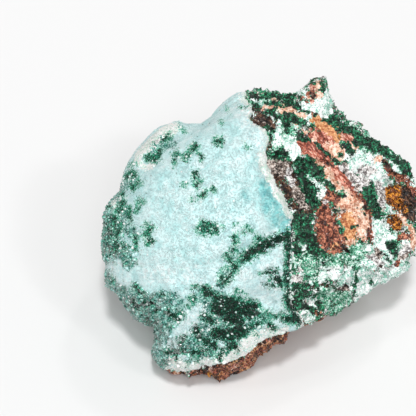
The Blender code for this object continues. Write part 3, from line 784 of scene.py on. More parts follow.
def rock_finish(name, tone_shift=None, **constants):
    """Iron-stained ore: each mineral where it is strongest."""
    finish = Finish(name, **constants)
    shift = tone_shift(finish) if tone_shift else 0.0
    colour = shown(finish, ROCK_COLOURS, ROCK_EDGES, None, shift, ROCK_DEEPER)
    finish.feed(finish.shader.inputs["Base Color"], colour)
    return finish


rock = rock_finish("iron_stained_ore", IOR=1.5)
rock.feed(rock.shader.inputs["Roughness"], rock.grain(0.7, 2.0, 60.0) * 0.5 + 0.3)
rock.feed(rock.shader.inputs["Normal"], rock.node(
    "Bump", {}, {"Strength": 0.8, "Distance": 0.3 * MM, "Height": rock.grain(0.45, 5.0, 61.0)}, "Normal"))

rock_face = piece("matrix_rock_face", stand(rock_shape), rock_faces, sheet, strengths, rock.material)
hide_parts("matrix_rock")

# --- The druse crust ---------------------------------------------------------------------------------------
# A crust of chrysocolla, 3 mm thick, that copper-bearing water laid over the rock in grape-like lumps. It is
# pale turquoise, with malachite in spots and along its creases, and a cream edge where it is broken off. The
# pale on its lower lobe's crest is a painted highlight, and the deeper teal beside the rim is partly painted
# shade.

CRUST_MIDDLE = np.array((-0.62, -0.05, 0.60))  # the way to its middle from the stone's
CRUST_CELLS = 276
RIM = (2.0, 1.3)  # the worn slope along the broken edge: how wide it is, and how far it falls
RIM_FRONT = (2.0, 8.0)  # how far out that slope takes hold
CRUST_GRAIN = [(2.8, 0.26, 71), (1.1, 0.07, 72)]  # its small lumps: how far apart, how tall, and a seed
EDGE_GRAIN = [(2.6, 0.6, 81), (0.9, 0.5, 82)]  # how its edge is broken: how often, how far, and a seed
MALACHITE_PIT = 0.55  # how deep the malachite's hollows are


def toward(azimuth, angle):
    """Unit directions at these angles from the crust's middle, turned round it by the azimuth."""
    middle = unit(CRUST_MIDDLE)
    side = unit(np.cross((0, 1, 0), middle))
    other = np.cross(middle, side)
    turned = np.cos(azimuth)[:, None] * side + np.sin(azimuth)[:, None] * other
    return np.cos(angle)[:, None] * middle + np.sin(angle)[:, None] * turned


def crust_reach(azimuth):
    """The angle from the crust's middle to its edge, at each azimuth: where under_crust first falls to 0."""
    turns, steps = np.linspace(0, 2 * math.pi, 900, endpoint=False), np.linspace(0.15, 2.3, 200)
    turn, step = (part.ravel() for part in np.meshgrid(turns, steps, indexing="ij"))
    points = stone(toward(turn, step), False)
    ragged = sum(far * noise(points, size, seed) for size, far, seed in EDGE_GRAIN)
    inside = (under_crust(points) - 0.3 + ragged).reshape(len(turns), len(steps))
    last = np.argmax(inside < 0, axis=1)
    before, after = inside[np.arange(len(turns)), last - 1], inside[np.arange(len(turns)), last]
    edge = steps[last - 1] + (steps[last] - steps[last - 1]) * before / (before - after)
    return np.interp(azimuth, turns, edge, period=2 * math.pi)


def crust_surface(direction):
    """The crust's outer surface: the stone's, with small lumps, and falling away in a slope to its edge."""
    points = stone(direction, False)
    slope = eased(beyond_break(points), -RIM[0], 0.2) * eased(points[:, 2], *RIM_FRONT)
    small = sum(tall * (lumps(points, size, seed) - 0.6) for size, tall, seed in CRUST_GRAIN)
    pit = MALACHITE_PIT * eased(crust_minerals(points)["malachite"], -0.4, 0.9)
    points[:, 2] -= RIM[1] * slope
    jagged = rough(points, ROCK_GRAIN[1:])
    small += 0.4 * jagged * eased(pit, 0.0, 0.3) - pit
    return points + direction * (small * (1 - slope) + 2.8 * jagged * slope)[:, None]


def disc(cells):
    """A square grid drawn to a disc by sliding each point along its square ring: radius and azimuth."""
    a, b = (part.ravel() for part in np.meshgrid(*[np.linspace(-1, 1, cells + 1)] * 2, indexing="ij"))
    wide = np.abs(a) > np.abs(b)
    radius = np.where(wide, a, b)
    other = np.divide(np.where(wide, b, a), radius, out=np.zeros_like(a), where=radius != 0)
    azimuth = np.where(wide, math.pi / 4 * other, math.pi / 2 - math.pi / 4 * other)
    return np.abs(radius), azimuth + math.pi * (radius < 0), np.stack([a, b], axis=1)


def ring_of(cells):
    """The grid's outermost points, in order round it, anticlockwise."""
    grid = np.arange((cells + 1) ** 2).reshape(cells + 1, cells + 1)
    return np.concatenate([grid[:-1, 0], grid[-1, :-1], grid[:0:-1, -1], grid[0, :0:-1]])


# Where each mineral shows on the crust, with painted highlight and painted shade among them: a half width,
# and the points that it runs through: right, up.
CRUST_MINERALS = {
    # Pale: paler chrysocolla, and a painted highlight along the lower lobe's crest and in the small spots
    # beside it.
    "pale_and_highlight": [
        (2.2, [(-13.8, -20.8)]), (2.6, [(-15.6, -22.6), (-16.6, -24.2)]), (1.8, [(-18.4, -26.0)]),
        (1.7, [(-19.2, -28.4), (-20.6, -29.6)]), (1.1, [(-21.4, -31.2)]),
        (1.0, [(-10.2, -24.6), (-8.8, -25.2)]), (1.0, [(-8.4, -29.2), (-7.0, -30.0)]),
        (0.8, [(-13.4, -30.4)]), (0.8, [(-18.2, -33.0)]), (3.2, [(6.5, -2.0), (5.0, -16.0)]),
        (2.6, [(-1.0, -12.0), (6.0, -17.5)]), (2.8, [(-27.0, -10.5), (-14.0, -10.5)]),
        (2.0, [(-37.0, -8.0), (-34.5, -12.0)]), (2.6, [(-2.5, 33.5), (2.5, 26.5), (5.0, 24.5)]),
    ],
    "sage": [
        (2.8, [(-34.0, -17.5), (-29.0, -20.5), (-25.5, -22.0)]), (2.8, [(-22.5, -17.8), (-21.5, -21.0)]),
        (2.0, [(-24.5, -23.5), (-24.0, -28.0)]), (1.8, [(-25.5, -31.5), (-23.5, -34.0)]),
        (2.0, [(-13.0, -16.5), (-8.0, -17.0)]), (3.5, [(-11.0, -22.5), (0.0, -22.5)]),
        (3.4, [(-13.5, -27.5), (-6.5, -27.0)]), (2.0, [(-19.0, -29.5), (-12.0, -31.0)]),
        (1.5, [(-34.5, 13.0), (-32.0, 14.5)]), (1.6, [(-33.5, 6.0), (-32.0, 1.0)]),
        (1.4, [(-34.0, -5.0), (-32.5, -7.5)]), (1.8, [(-39.0, 5.0), (-39.5, -1.0), (-38.0, -6.0)]),
        (1.6, [(-36.0, 14.0), (-37.0, 9.0)]), (1.0, [(-5.0, -9.0), (-8.0, -13.5)]),
        (1.2, [(-38.0, -11.0), (-37.0, -13.5)]), (1.0, [(-26.0, 23.0), (-21.0, 24.5)]),
        (1.5, [(-25.8, 24.4), (-23.4, 26.4)]), (2.4, [(-31.0, -17.8), (-20.0, -18.6)]),
    ],
    # Deeper teal: chrysocolla's deeper colour, laid thickest in the valley beside the raised rim as painted
    # shade.
    "deep_teal_and_shade": [
        (1.7, [(3.8, 13.0), (5.8, 8.6)]), (2.5, [(6.2, 7.6), (7.8, 4.6), (9.6, 2.2)]),
        (0.7, [(-1.5, 11.5), (-1.4, 10.3)]),
    ],
    "cream": [
        (1.3, [(3.4, 20.0), (4.4, 17.0), (6.2, 14.2), (9.2, 8.4), (10.9, 4.4)]),
        (1.3, [(-21.5, -33.6), (-18.5, -35.2)]),
        (1.0, [(-18.5, -35.2), (-14.5, -35.0), (-10.0, -33.6), (-5.5, -32.6)]),
        (1.3, [(-4.6, -32.0), (-1.6, -30.0), (1.4, -27.0)]), (0.9, [(2.0, -26.8), (6.0, -25.3)]),
        (2.2, [(-21.0, 29.3), (-25.5, 27.0), (-30.5, 22.5)]),
        (0.8, [(-31.0, 20.5), (-28.5, 18.2), (-26.5, 18.6)]), (1.0, [(-37.0, 8.0), (-35.8, 9.8)]),
    ],
    "emerald": [
        (0.7, [(-19.2, 29.8), (-17.6, 28.0)]), (0.8, [(-18.0, 13.7)]), (0.6, [(-15.6, 9.6)]),
        (0.9, [(-7.8, 2.3)]), (0.4, [(-4.3, 2.7)]), (0.9, [(-32.6, 18.8), (-30.5, 19.3)]),
        (1.1, [(-39.0, 2.0), (-38.3, 5.5)]), (0.8, [(-32.5, 1.8)]), (1.2, [(-34.0, -6.0), (-32.0, -7.2)]),
        (0.8, [(-2.0, -15.9)]), (0.7, [(-0.7, 23.6)]), (0.4, [(-6.0, 33.7)]), (0.6, [(-7.6, 30.2)]),
        (1.4, [(-31.0, -14.3), (-29.0, -16.0)]), (0.9, [(-13.6, -18.4)]),
        (1.1, [(-8.0, -11.0), (-6.0, -9.0)]), (1.0, [(2.0, -24.5), (5.0, -22.5)]),
    ],
    "malachite": [
        (1.3, [(-8.3, 25.3)]), (0.45, [(-20.3, 21.8), (-19.0, 21.8)]),
        (0.8, [(-17.2, 20.9), (-15.8, 22.8), (-14.8, 23.8)]), (0.45, [(-13.8, 21.9), (-13.2, 20.7)]),
        (0.4, [(-20.4, 20.2), (-20.4, 19.0)]), (0.8, [(-14.5, 16.5), (-14.0, 14.5), (-14.4, 13.4)]),
        (0.75, [(-12.9, 10.5), (-12.2, 11.8)]), (0.7, [(-10.0, 12.2)]), (1.9, [(-12.8, 2.2), (-10.5, 1.5)]),
        (0.6, [(-9.2, 0.6)]), (0.55, [(-4.2, -0.5), (-3.9, -2.2)]), (0.45, [(-1.7, 0.7)]),
        (0.5, [(-0.4, 2.0), (0.0, 1.2)]), (1.3, [(-27.2, 20.8), (-26.0, 20.6)]),
        (0.8, [(-24.9, 21.0), (-24.7, 22.8)]), (1.1, [(-23.5, 25.5), (-22.3, 26.7)]), (0.8, [(-21.7, 27.4)]),
        (0.45, [(-26.1, 25.0)]), (1.1, [(-33.0, 15.8), (-31.5, 16.2)]),
        (0.9, [(-31.5, 13.0), (-30.2, 14.4)]), (0.8, [(-34.4, 11.0)]), (0.9, [(-29.6, 9.0)]),
        (0.7, [(-30.2, 7.0)]), (0.9, [(-32.8, 7.0), (-32.4, 4.6)]), (2.2, [(-37.4, 3.5), (-36.2, 1.5)]),
        (2.0, [(-37.6, -1.0), (-37.0, -3.5)]), (0.8, [(-39.8, 3.0), (-40.2, -1.0)]), (0.9, [(-38.0, 7.6)]),
        (1.2, [(-34.6, 8.6), (-35.4, 6.4)]), (0.7, [(-36.0, 12.5)]), (0.8, [(-35.0, 17.0)]),
        (1.2, [(-34.0, -3.5)]), (0.7, [(-30.8, -0.5), (-31.3, -3.5)]), (1.0, [(-28.3, 0.0), (-27.0, 1.5)]),
        (1.1, [(-27.0, -1.8)]), (0.4, [(-28.3, 2.6)]), (0.9, [(-37.2, -12.5)]),
        (1.0, [(-31.0, -14.3), (-29.5, -15.5)]), (1.4, [(-29.5, -18.5), (-26.5, -18.2)]),
        (0.9, [(-32.0, -18.5)]), (0.8, [(-34.3, -14.6)]), (1.0, [(-25.3, -20.5)]),
        (0.9, [(-20.5, -21.0), (-18.3, -21.5)]), (0.7, [(-23.5, -16.3)]), (0.6, [(-22.0, -25.0)]),
        (1.0, [(-15.5, -17.3)]), (0.7, [(-16.5, -19.0)]), (0.9, [(-15.0, -13.8)]),
        (1.5, [(-12.0, -14.8), (-11.3, -16.0)]), (1.6, [(-9.0, -17.5), (-4.0, -18.3), (1.0, -19.3)]),
        (2.4, [(-5.0, -21.0), (-1.0, -20.5)]), (1.6, [(-7.5, -20.5)]), (1.2, [(-3.0, -23.3)]),
        (1.2, [(0.8, -21.0)]), (2.6, [(-8.5, -19.5), (0.5, -20.5)]), (2.2, [(-9.0, -27.0), (-2.5, -25.5)]),
        (1.4, [(-12.5, -28.5), (-9.5, -30.0)]), (1.2, [(-18.5, -31.5), (-14.0, -31.8)]),
        (1.2, [(-22.0, -21.0), (-19.0, -22.5)]), (1.2, [(-28.5, -21.5), (-25.5, -24.0)]),
        (1.0, [(-31.5, -17.5), (-30.0, -20.0)]), (1.3, [(-12.5, -22.0), (-10.0, -23.5)]),
        (1.5, [(-9.5, -27.0), (-6.5, -26.5)]), (2.3, [(-5.0, -27.0), (-3.0, -26.0)]),
        (1.2, [(-5.5, -29.5), (-4.0, -30.0)]), (1.0, [(-1.0, -25.3), (2.0, -24.0)]),
        (1.1, [(-13.5, -31.3), (-11.5, -31.3)]), (0.8, [(-8.5, -32.8), (-7.5, -32.0)]),
        (0.45, [(-2.6, 34.4), (0.4, 34.6)]), (1.1, [(-22.5, -31.5), (-20.0, -31.8)]),
        (0.9, [(-20.0, -33.5)]), (0.7, [(-23.0, -34.5)]), (1.4, [(-14.5, -26.0), (-13.5, -28.0)]),
        (0.9, [(-14.8, -25.0)]), (1.1, [(-18.0, -27.7), (-18.6, -29.2)]), (0.9, [(-6.0, -24.9)]),
        (0.6, [(-3.4, -15.3)]), (0.7, [(-9.8, -32.8), (-8.2, -33.4)]), (0.6, [(-14.2, -33.8)]),
        (0.6, [(-16.6, -34.4)]), (0.6, [(-3.4, -31.2)]), (0.7, [(1.4, -27.2)]),
        (0.9, [(5.0, -24.0), (6.0, -25.0)]), (0.9, [(3.2, -22.2)]), (1.2, [(9.0, -22.0), (11.5, -22.5)]),
        (0.6, [(4.5, -21.0), (6.8, -22.0)]), (1.8, [(2.6, -3.4), (6.9, -1.6), (11.3, 0.3)]),
        (0.8, [(2.4, -1.0)]), (1.5, [(-2.2, -6.4), (1.6, -4.2)]), (0.9, [(-4.6, -4.2)]),
        (0.9, [(-2.0, -6.5), (-1.0, -6.8)]), (0.9, [(-6.2, -5.8), (-4.6, -7.5), (-4.2, -9.3)]),
        (0.8, [(-4.0, -9.3), (-6.0, -11.5), (-7.2, -12.8)]), (0.9, [(-7.4, -11.7)]),
        (1.2, [(5.0, -9.9), (6.6, -10.0)]), (1.3, [(7.2, -11.8), (8.1, -13.0)]),
        (0.8, [(4.4, -13.4), (6.2, -13.8)]), (0.6, [(3.2, -10.2)]), (0.7, [(5.4, -11.8)]),
        (1.5, [(10.6, -1.5), (10.2, -4.0)]), (1.1, [(10.4, -5.5), (9.9, -8.5)]),
        (1.4, [(9.9, -10.5), (10.3, -12.0)]), (1.0, [(10.5, -13.5), (10.3, -16.5)]),
        (1.5, [(10.6, -18.0), (11.6, -19.5)]), (1.3, [(12.0, -21.0), (13.5, -23.5)]),
        (1.5, [(10.0, -22.5), (12.0, -22.5)]), (1.0, [(-6.8, -31.2)]), (2.0, [(-6.0, -22.6), (-3.0, -23.2)]),
    ],
}
# How the crust is made up round the sides and the back: a seed, how wide the patches are, and how much of it.
CRUST_MAKE_UP = {
    "pale_and_highlight": (61, 8.0, -0.6), "sage": (62, 9.0, -0.25), "deep_teal_and_shade": (63, 7.0, -1.2), "cream": (64, 6.0, -0.9),
    "emerald": (66, 4.0, -0.5), "malachite": (65, 5.0, -0.1),
}
# The most that each comes to, so that malachite shows over them.
AT_MOST = {"sage": 0.55, "pale_and_highlight": 1.0, "cream": 1.3, "emerald": 0.6, "deep_teal_and_shade": 0.9}
CRUST_FRONT = (-7.0, 1.5)  # how far out the shown patches take over
FIRM = 1.4  # how much each millimetre inside a patch counts
BROKEN_EDGE = 1.8  # how wide the cream edge is
FRINGE = 0.55  # how far the emerald fringe reaches round the malachite
VEILED = 1.8  # how much weaker malachite's patches are on the dome, where the druse grows over them
DOME_ABOVE, DOME_RIGHT = (-9.0, -5.0), (-3.0, 1.0)  # where the dome ends, below and on the right
KNOB_ABOVE, KNOB_BACK = (8.0, 14.0), (5.5, 10.5)  # above and behind these, the left knob's cream runs out
SPECKLED = (0.8, 0.6, 110)  # how the malachite is speckled: how often, how much, and a seed
# The second noise's grid is turned, so that no patch shows the grid's own squares.
SLANT = np.array([(0.64, 0.48, -0.60), (-0.60, 0.80, 0.0), (0.48, 0.36, 0.80)])


def patches(place, strokes):
    """How far inside a mineral's patches each place is, in millimetres. It is below 0 outside them."""
    return np.maximum.reduce([wide - distance(place, path) for wide, path in strokes])


def crust_minerals(points):
    """How strong each mineral is at each point of the crust: named patches in front, and noise behind."""
    front = eased(points[:, 2], *CRUST_FRONT)
    place, edge = wandered(points), under_crust(points)
    dome = eased(points[:, 1], *DOME_ABOVE) * (1 - eased(points[:, 0], *DOME_RIGHT)) * front
    ragged = points[:, 2] + 1.5 * noise(points, 2.5, 111)
    behind_knob = eased(points[:, 1], *KNOB_ABOVE) * (1 - eased(ragged, *KNOB_BACK))
    strengths, swirl = {}, swirled(points)
    slanted = swirl @ SLANT
    for kind, strokes in CRUST_MINERALS.items():
        seed, size, share = CRUST_MAKE_UP[kind]
        wild = 0.7 * noise(swirl, size, seed) + 0.7 * noise(slanted, size * 0.7, seed + 30)
        wild = 1.6 * (wild + 0.6 * noise(slanted, size * 0.35, seed + 10) + share)
        face = FIRM * patches(place, strokes)
        if kind == "cream":
            face = face - 3.0 * behind_knob
            face, wild = np.maximum(face, BROKEN_EDGE - edge), np.maximum(wild, BROKEN_EDGE - edge)
        if kind == "emerald":
            face = np.maximum(face, FIRM * patches(place, CRUST_MINERALS["malachite"]) + FRINGE)
        if kind == "malachite":
            size, much, seed = SPECKLED
            face = face + much * noise(points, size, seed)
        strengths[kind] = np.clip(wild + (face - wild) * front, -STRONGEST, AT_MOST.get(kind, STRONGEST))
    strengths["malachite"] = np.minimum(strengths["malachite"], STRONGEST - VEILED * dome)
    return strengths


CRUST_COLOURS = {
    "chrysocolla": ((186, 229, 229), (200, 236, 236), (214, 243, 243), 3.2),
    # pale chrysocolla, and the painted highlight on the lower lobe's crest
    "pale_and_highlight": ((198, 234, 235), (211, 241, 241), (228, 248, 248), 1.6),
    "sage": ((22, 84, 72), (80, 150, 137), (168, 216, 206), 0.6),
    # deeper teal, partly painted shade in the valley beside the rim
    "deep_teal_and_shade": ((86, 174, 178), (124, 204, 204), (174, 227, 225), 2.4),
    "cream": ((206, 236, 222), (242, 250, 244), (254, 255, 253), 0.7),
    "emerald": ((24, 118, 92), (98, 186, 160), (196, 234, 224), 0.5),
    "malachite": ((0, 28, 18), (8, 84, 60), (74, 172, 136), 0.5),
}
# How far the mineral's border is broken up, and how soft it is, in millimetres.
CRUST_EDGES = {
    "pale_and_highlight": (2.2, 0.7), "sage": (3.0, 0.5), "deep_teal_and_shade": (0.8, 2.0), "cream": (2.6, 0.25), "emerald": (3.0, 0.5),
    "malachite": (2.2, 0.12),
}
CRUST_DEEPER = 0.13


def druse_finish(name, tone_shift=None, **constants):
    """Chrysocolla with the minerals that grow in it, each where it is strongest."""
    finish = Finish(name, **constants)
    shift = tone_shift(finish) if tone_shift else 0.0
    base = finish.grain(0.8, 2.0, 90.0) * 0.4 - 0.2
    colour = shown(finish, CRUST_COLOURS, CRUST_EDGES, base, shift, CRUST_DEEPER)
    finish.feed(finish.shader.inputs["Base Color"], colour)
    return finish


SOFT = {"Subsurface_Weight": 0.5, "Subsurface_Radius": (0.8, 1.0, 1.0), "Subsurface_Scale": 1.2 * MM}
crust = druse_finish("chrysocolla_crust", Roughness=0.45, IOR=1.5, **SOFT)
crust.feed(crust.shader.inputs["Normal"], crust.node(
    "Bump", {}, {"Strength": 0.7, "Distance": 0.25 * MM, "Height": crust.grain(0.4, 4.0, 91.0)}, "Normal"))

radius, azimuth, square = disc(CRUST_CELLS)
reach_here = crust_reach(azimuth)
outer = crust_surface(toward(azimuth, radius * reach_here))
outer_faces = squares(CRUST_CELLS)

# The wall along the broken edge, and the hidden inner side, as rings that close on the crust's middle. Each
# lies at a share of the way out to the edge, and of the way down through the crust.
ring = ring_of(CRUST_CELLS)
rings, ring_faces, ring_sheet = [outer], [outer_faces], [0.47 + 0.46 * square[outer_faces]]
previous, placed_so_far = ring, len(outer)
wall_levels = [(1.0, 0.45), (1.0, 0.85)]
levels = wall_levels + [(share, 1.0) for share in (0.998, 0.9, 0.75, 0.55, 0.35, 0.15, 0.02)]
for level, (share, deep) in enumerate(levels):
    way = toward(azimuth[ring], share * reach_here[ring])
    wall = crust_surface(way) - way * (CRUST * deep)
    if level < len(wall_levels):
        wall += way * 0.25 * noise(wall, 1.1, 83 + level)[:, None]
    rings.append(wall)
    here = np.arange(len(ring)) + placed_so_far
    ring_faces.append(np.stack([previous, here, np.roll(here, -1), np.roll(previous, -1)], axis=1))
    strip = 0.945 + 0.05 * (level + np.array((0, 1, 1, 0))) / (len(levels) + 1)
    along = (np.arange(len(ring))[:, None] + np.array((0, 0, 1, 1))) / len(ring)
    ring_sheet.append(np.stack([np.broadcast_to(strip, along.shape), along * 0.94], axis=2))
    previous, placed_so_far = here, placed_so_far + len(ring)
rings.append(np.mean(rings[-1], axis=0)[None])
pairs = np.append(previous, previous[0])
last = np.full(len(ring) // 2, placed_so_far)
ring_faces.append(np.stack([pairs[0:-1:2], last, pairs[2::2], pairs[1::2]], axis=1))
ring_sheet.append(ring_sheet[-1][::2] + (0.05 / (len(levels) + 1), 0.0))
crust_shape = np.concatenate(rings)

strengths = crust_minerals(crust_shape)
faces, sheet = np.concatenate(ring_faces), np.concatenate(ring_sheet)
crust_face = piece("druse_crust_face", stand(crust_shape), faces, sheet, strengths, crust.material)
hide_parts("druse_crust")

# --- The grains on the stone -------------------------------------------------------------------------------
# Small crystals that stand on the crust and in the broken rock: six-sided quartz points, tinted by the
# chrysocolla and malachite under them, and crumbs of the rock's own minerals. Each grew where it is.


def sow(points, faces, weight, count, seed):
    """Places spread over a surface in proportion to its area and this weight, and the normal at each."""
    draw = np.random.default_rng(seed)
    corners = points[faces]
    normal = np.cross(corners[:, 2] - corners[:, 0], corners[:, 3] - corners[:, 1])
    area = np.cumsum(np.linalg.norm(normal, axis=1) * weight)
    chosen = np.searchsorted(area, draw.random(count) * area[-1])
    u, v = draw.random((2, count, 1))
    near = corners[chosen, 0] * (1 - u) + corners[chosen, 1] * u
    far = corners[chosen, 3] * (1 - u) + corners[chosen, 2] * u
    return near * (1 - v) + far * v, unit(normal[chosen]), draw


def picked(draw, odds, most):
    """Which places grow a grain: each by chance, at its own odds, and no more than this many."""
    return np.flatnonzero(draw.random(len(odds)) < odds)[:most]


def blurred(strengths, amount, draw):
    """The minerals' strengths, a little different in each grain, with the grain's own chance beside them."""
    count = len(strengths["malachite"])
    strengths = {kind: numbers + amount * draw.normal(size=count) for kind, numbers in strengths.items()}
    return {**strengths, "chance": draw.random(count)}


def crystals(place, way, wide, tall, rings, sides, uneven, draw):
    """Pointed crystals. Each is rings of corners round its axis, a flat foot below them and a tip above.

    A ring is a share of the crystal's width and of its height. Uneven ones have corners nearer or further
    out, and a tip off the axis. Returns the points, the triangles, each triangle corner's place on a sheet
    that gives every crystal a small square of its own, and how many points a crystal has.
    """
    count = len(place)
    side = unit(np.cross(way, draw.normal(size=way.shape)))
    other = np.cross(way, side)
    turn = np.arange(sides) * 2 * math.pi / sides
    spoke = np.cos(turn)[:, None] * side[:, None] + np.sin(turn)[:, None] * other[:, None]
    spoke = spoke * (wide[:, None] * (1 + uneven * (draw.random((count, sides)) - 0.5)))[:, :, None]
    rise = (tall[:, None] * way)[:, None]
    tip = place + rise[:, 0] + uneven * wide[:, None] * (side * draw.normal(size=(count, 1)) * 0.4)
    stacked = [place[:, None] + share * spoke + high * rise for share, high in rings]
    points = np.concatenate(stacked + [tip[:, None]], axis=1)
    each = sides * len(rings) + 1
    k = np.arange(sides)
    pattern = [np.stack([0 * k[2:], k[2:], k[1:-1]], axis=1)]
    for low in range(0, sides * (len(rings) - 1), sides):
        a, b = low + k, low + np.roll(k, -1)
        pattern += [np.stack([a, b, b + sides], axis=1), np.stack([a, b + sides, a + sides], axis=1)]
    top = each - 1 - sides
    pattern.append(np.stack([top + k, top + np.roll(k, -1), 0 * k + each - 1], axis=1))
    pattern = np.concatenate(pattern)
    faces = (pattern[None] + each * np.arange(count)[:, None, None]).reshape(-1, 3)
    spread = np.stack([np.cos(turn), np.sin(turn)], axis=1)
    spread = np.concatenate([spread * (1 - 0.3 * level) for level in range(len(rings))] + [np.zeros((1, 2))])
    across = math.ceil(math.sqrt(count))
    cell = np.stack([np.arange(count) % across, np.arange(count) // across], axis=1)
    sheet = (cell[:, None, None] + 0.5 + 0.36 * spread[pattern][None]) / across
    return points.reshape(-1, 3), faces, sheet.reshape(-1, 2), each


POINT = {"rings": [(1.0, -0.35)], "sides": 6, "uneven": 0.2}  # a quartz point on no prism, sunk in the crust
PRISM = {"rings": [(1.0, -0.6), (0.95, 0.45)], "sides": 6, "uneven": 0.2}  # and one on a short prism
CHIP = {"rings": [(1.0, -0.4)], "sides": 5, "uneven": 0.8}  # a splinter of ore


def grains(name, place, normal, draw, wide, tall, form, lean, values, material):
    """A piece of crystals that lean this much from the surface's normal, with each one's own numbers."""
    way = unit(normal + lean * draw.normal(size=normal.shape))
    points, faces, sheet, each = crystals(place, way, wide, wide * tall, draw=draw, **form)
    values = {kind: np.repeat(numbers, each) for kind, numbers in values.items()}
    made = piece(name, stand(points), faces, sheet, values, material, smooth=False)
    return made


def by_chance(finish):
    """Each grain is a little darker or lighter than the next."""
    return finish.number("chance") * 0.10 - 0.05


# The fine druse, in two pieces. A point's half width is at least the first of these, up to the second more,
# and up to the third more where the minerals make it coarser.
DRUSE_EACH, DRUSE_WIDE = 19500, (0.15, 0.12, 0.22)
druse = druse_finish("quartz_druse", by_chance, Roughness=0.2, IOR=1.54, **SOFT)
centre = outer[outer_faces].mean(axis=1)
rim_share = eased(beyond_break(centre), -RIM[0], -0.6) * eased(centre[:, 2], *RIM_FRONT)
green_here = eased(crust_minerals(centre)["malachite"], -0.2, 0.7)
weight = (1 - 0.4 * rim_share) * (1 - 0.7 * green_here)
for number, seed in enumerate((101, 102)):
    place, normal, draw = sow(outer, outer_faces, weight, DRUSE_EACH, seed)
    strengths = crust_minerals(place)
    coarse = eased(np.maximum(strengths["sage"], strengths["malachite"]), -1.2, 1.0)
    wide = DRUSE_WIDE[0] + DRUSE_WIDE[1] * draw.random(len(place))
    wide += DRUSE_WIDE[2] * coarse * draw.random(len(place)) ** 2
    strengths = blurred(strengths, 0.25, draw)
    name = f"quartz_druse_{number + 1}"
    grains(name, place, normal, draw, wide, 0.95, POINT, 0.2, strengths, druse.material)

# Malachite stands on the crust in dark tufts, thick in its patches and thinning out round them.
TUFTS_TRIED, TUFTS = 120000, 24000
over_crust = 1 - 0.9 * rim_share  # the broken rim is nearly bare
malachite = Finish("malachite_tufts", Roughness=0.35, IOR=1.33)
tone = malachite.number("chance") * 0.6 + malachite.grain(1.2, 2.0, 5.0) * 0.4
tone -= malachite.number("depth") * 0.28
own = malachite.mix(tone.over(0.18, 0.40), screen(0, 28, 18), screen(4, 82, 58))
own = malachite.mix(tone.over(0.46, 0.68), own, screen(66, 176, 138))
malachite.feed(malachite.shader.inputs["Base Color"], own)
place, normal, draw = sow(outer, outer_faces, over_crust, TUFTS_TRIED, 103)
green_here = crust_minerals(place)["malachite"]
odds = eased(green_here + 0.3 * draw.normal(size=len(place)), 0.0, 0.9)
chosen = picked(draw, odds * 0.75, TUFTS)
place, normal, depth = place[chosen], normal[chosen], eased(green_here[chosen], 0.2, 1.5)
wide = 0.12 + 0.16 * draw.random(len(place))
numbers = {"chance": draw.random(len(place)), "depth": depth}
grains("malachite_tufts", place, normal, draw, wide, 1.3, CHIP, 0.5, numbers, malachite.material)

# Clear quartz points stand here and there over the malachite, and big ones thickly down the lower left.
CLEAR_TRIED, CLEAR_POINTS = 60000, 8500
LOWER_LEFT = np.array((-0.8, -0.6))  # the way to the crust's lower left edge
clear = Finish("clear_quartz", Base_Color=(0.80, 0.95, 0.90, 1.0), Roughness=0.06, IOR=1.54,
               Transmission_Weight=0.85)
place, normal, draw = sow(outer, outer_faces, over_crust, CLEAR_TRIED, 105)
strengths = crust_minerals(place)
lower_left = eased(place[:, :2] @ LOWER_LEFT, 24.0, 32.0)
odds = 0.012 * eased(strengths["malachite"], -0.3, 0.6) + 0.012 * eased(strengths["sage"], -0.5, 0.6) + 0.002
odds += 0.07 * lower_left * eased(strengths["sage"] + 0.4 * draw.normal(size=len(place)), -1.5, 0.5)
chosen = picked(draw, odds, CLEAR_POINTS)
place, normal, lower_left = place[chosen], normal[chosen], lower_left[chosen]
wide = 0.14 + 0.12 * draw.random(len(place)) + 0.36 * lower_left * draw.random(len(place)) ** 1.5
grains("clear_quartz_points", place, normal, draw, wide, 1.7, PRISM, 0.45, {}, clear.material)

# Coarser crystals, grey green with the minerals in them, stand out along the crust's left and lower edge.
COARSE_TRIED, COARSE_POINTS = 30000, 3600
GREENS = ("sage", "emerald", "malachite")
coarse = druse_finish("coarse_quartz", by_chance, Roughness=0.12, IOR=1.54, **SOFT)
place, normal, draw = sow(outer, outer_faces, 1 - 0.95 * rim_share, COARSE_TRIED, 107)
strengths = crust_minerals(place)
lower_left = eased(place[:, :2] @ LOWER_LEFT, 22.0, 30.0)
growth = np.maximum.reduce([strengths[kind] for kind in GREENS])
odds = 0.16 * lower_left * eased(growth + 0.4 * draw.normal(size=len(place)), -1.2, 0.4)
odds *= (1 - 0.8 * eased(strengths["malachite"], 0.6, 1.4)) * (1 - eased(strengths["pale_and_highlight"], -0.4, 0.5))
chosen = picked(draw, odds, COARSE_POINTS)
place, normal = place[chosen], normal[chosen]
strengths = blurred({kind: numbers[chosen] for kind, numbers in strengths.items()}, 0.4, draw)
strengths["sage"] += 0.6
wide = 0.3 + 0.35 * draw.random(len(place)) ** 1.5
finish = coarse.material
grains("coarse_quartz_points", place, normal, draw, wide, 1.5, PRISM, 0.5, strengths, finish)

# Milky quartz points whose near-white colour is painted glints: small white sparkles, in loose clumps over
# the dark minerals.
GLINT_QUARTZ_TRIED, GLINT_QUARTZ_POINTS = 60000, 2600
white_glint = Finish("white_glint_quartz", Roughness=0.1, IOR=1.54, Transmission_Weight=0.15)
white_glint.feed(white_glint.shader.inputs["Base Color"], white_glint.mix(
    white_glint.number("chance"), screen(196, 232, 224), screen(252, 254, 253)))
place, normal, draw = sow(outer, outer_faces, over_crust, GLINT_QUARTZ_TRIED, 108)
strengths = crust_minerals(place)
growth = np.maximum.reduce([strengths[kind] for kind in GREENS])
clumped = eased(noise(place, 1.6, 109), -0.1, 0.5)
chosen = picked(draw, 0.003 + 0.06 * clumped * eased(growth, -0.4, 0.8), GLINT_QUARTZ_POINTS)
place, normal = place[chosen], normal[chosen]
wide = 0.08 + 0.32 * draw.random(len(place)) ** 2.5
numbers = {"chance": draw.random(len(place))}
grains("white_glint_quartz_points", place, normal, draw, wide, 1.8, PRISM, 0.4, numbers, white_glint.material)

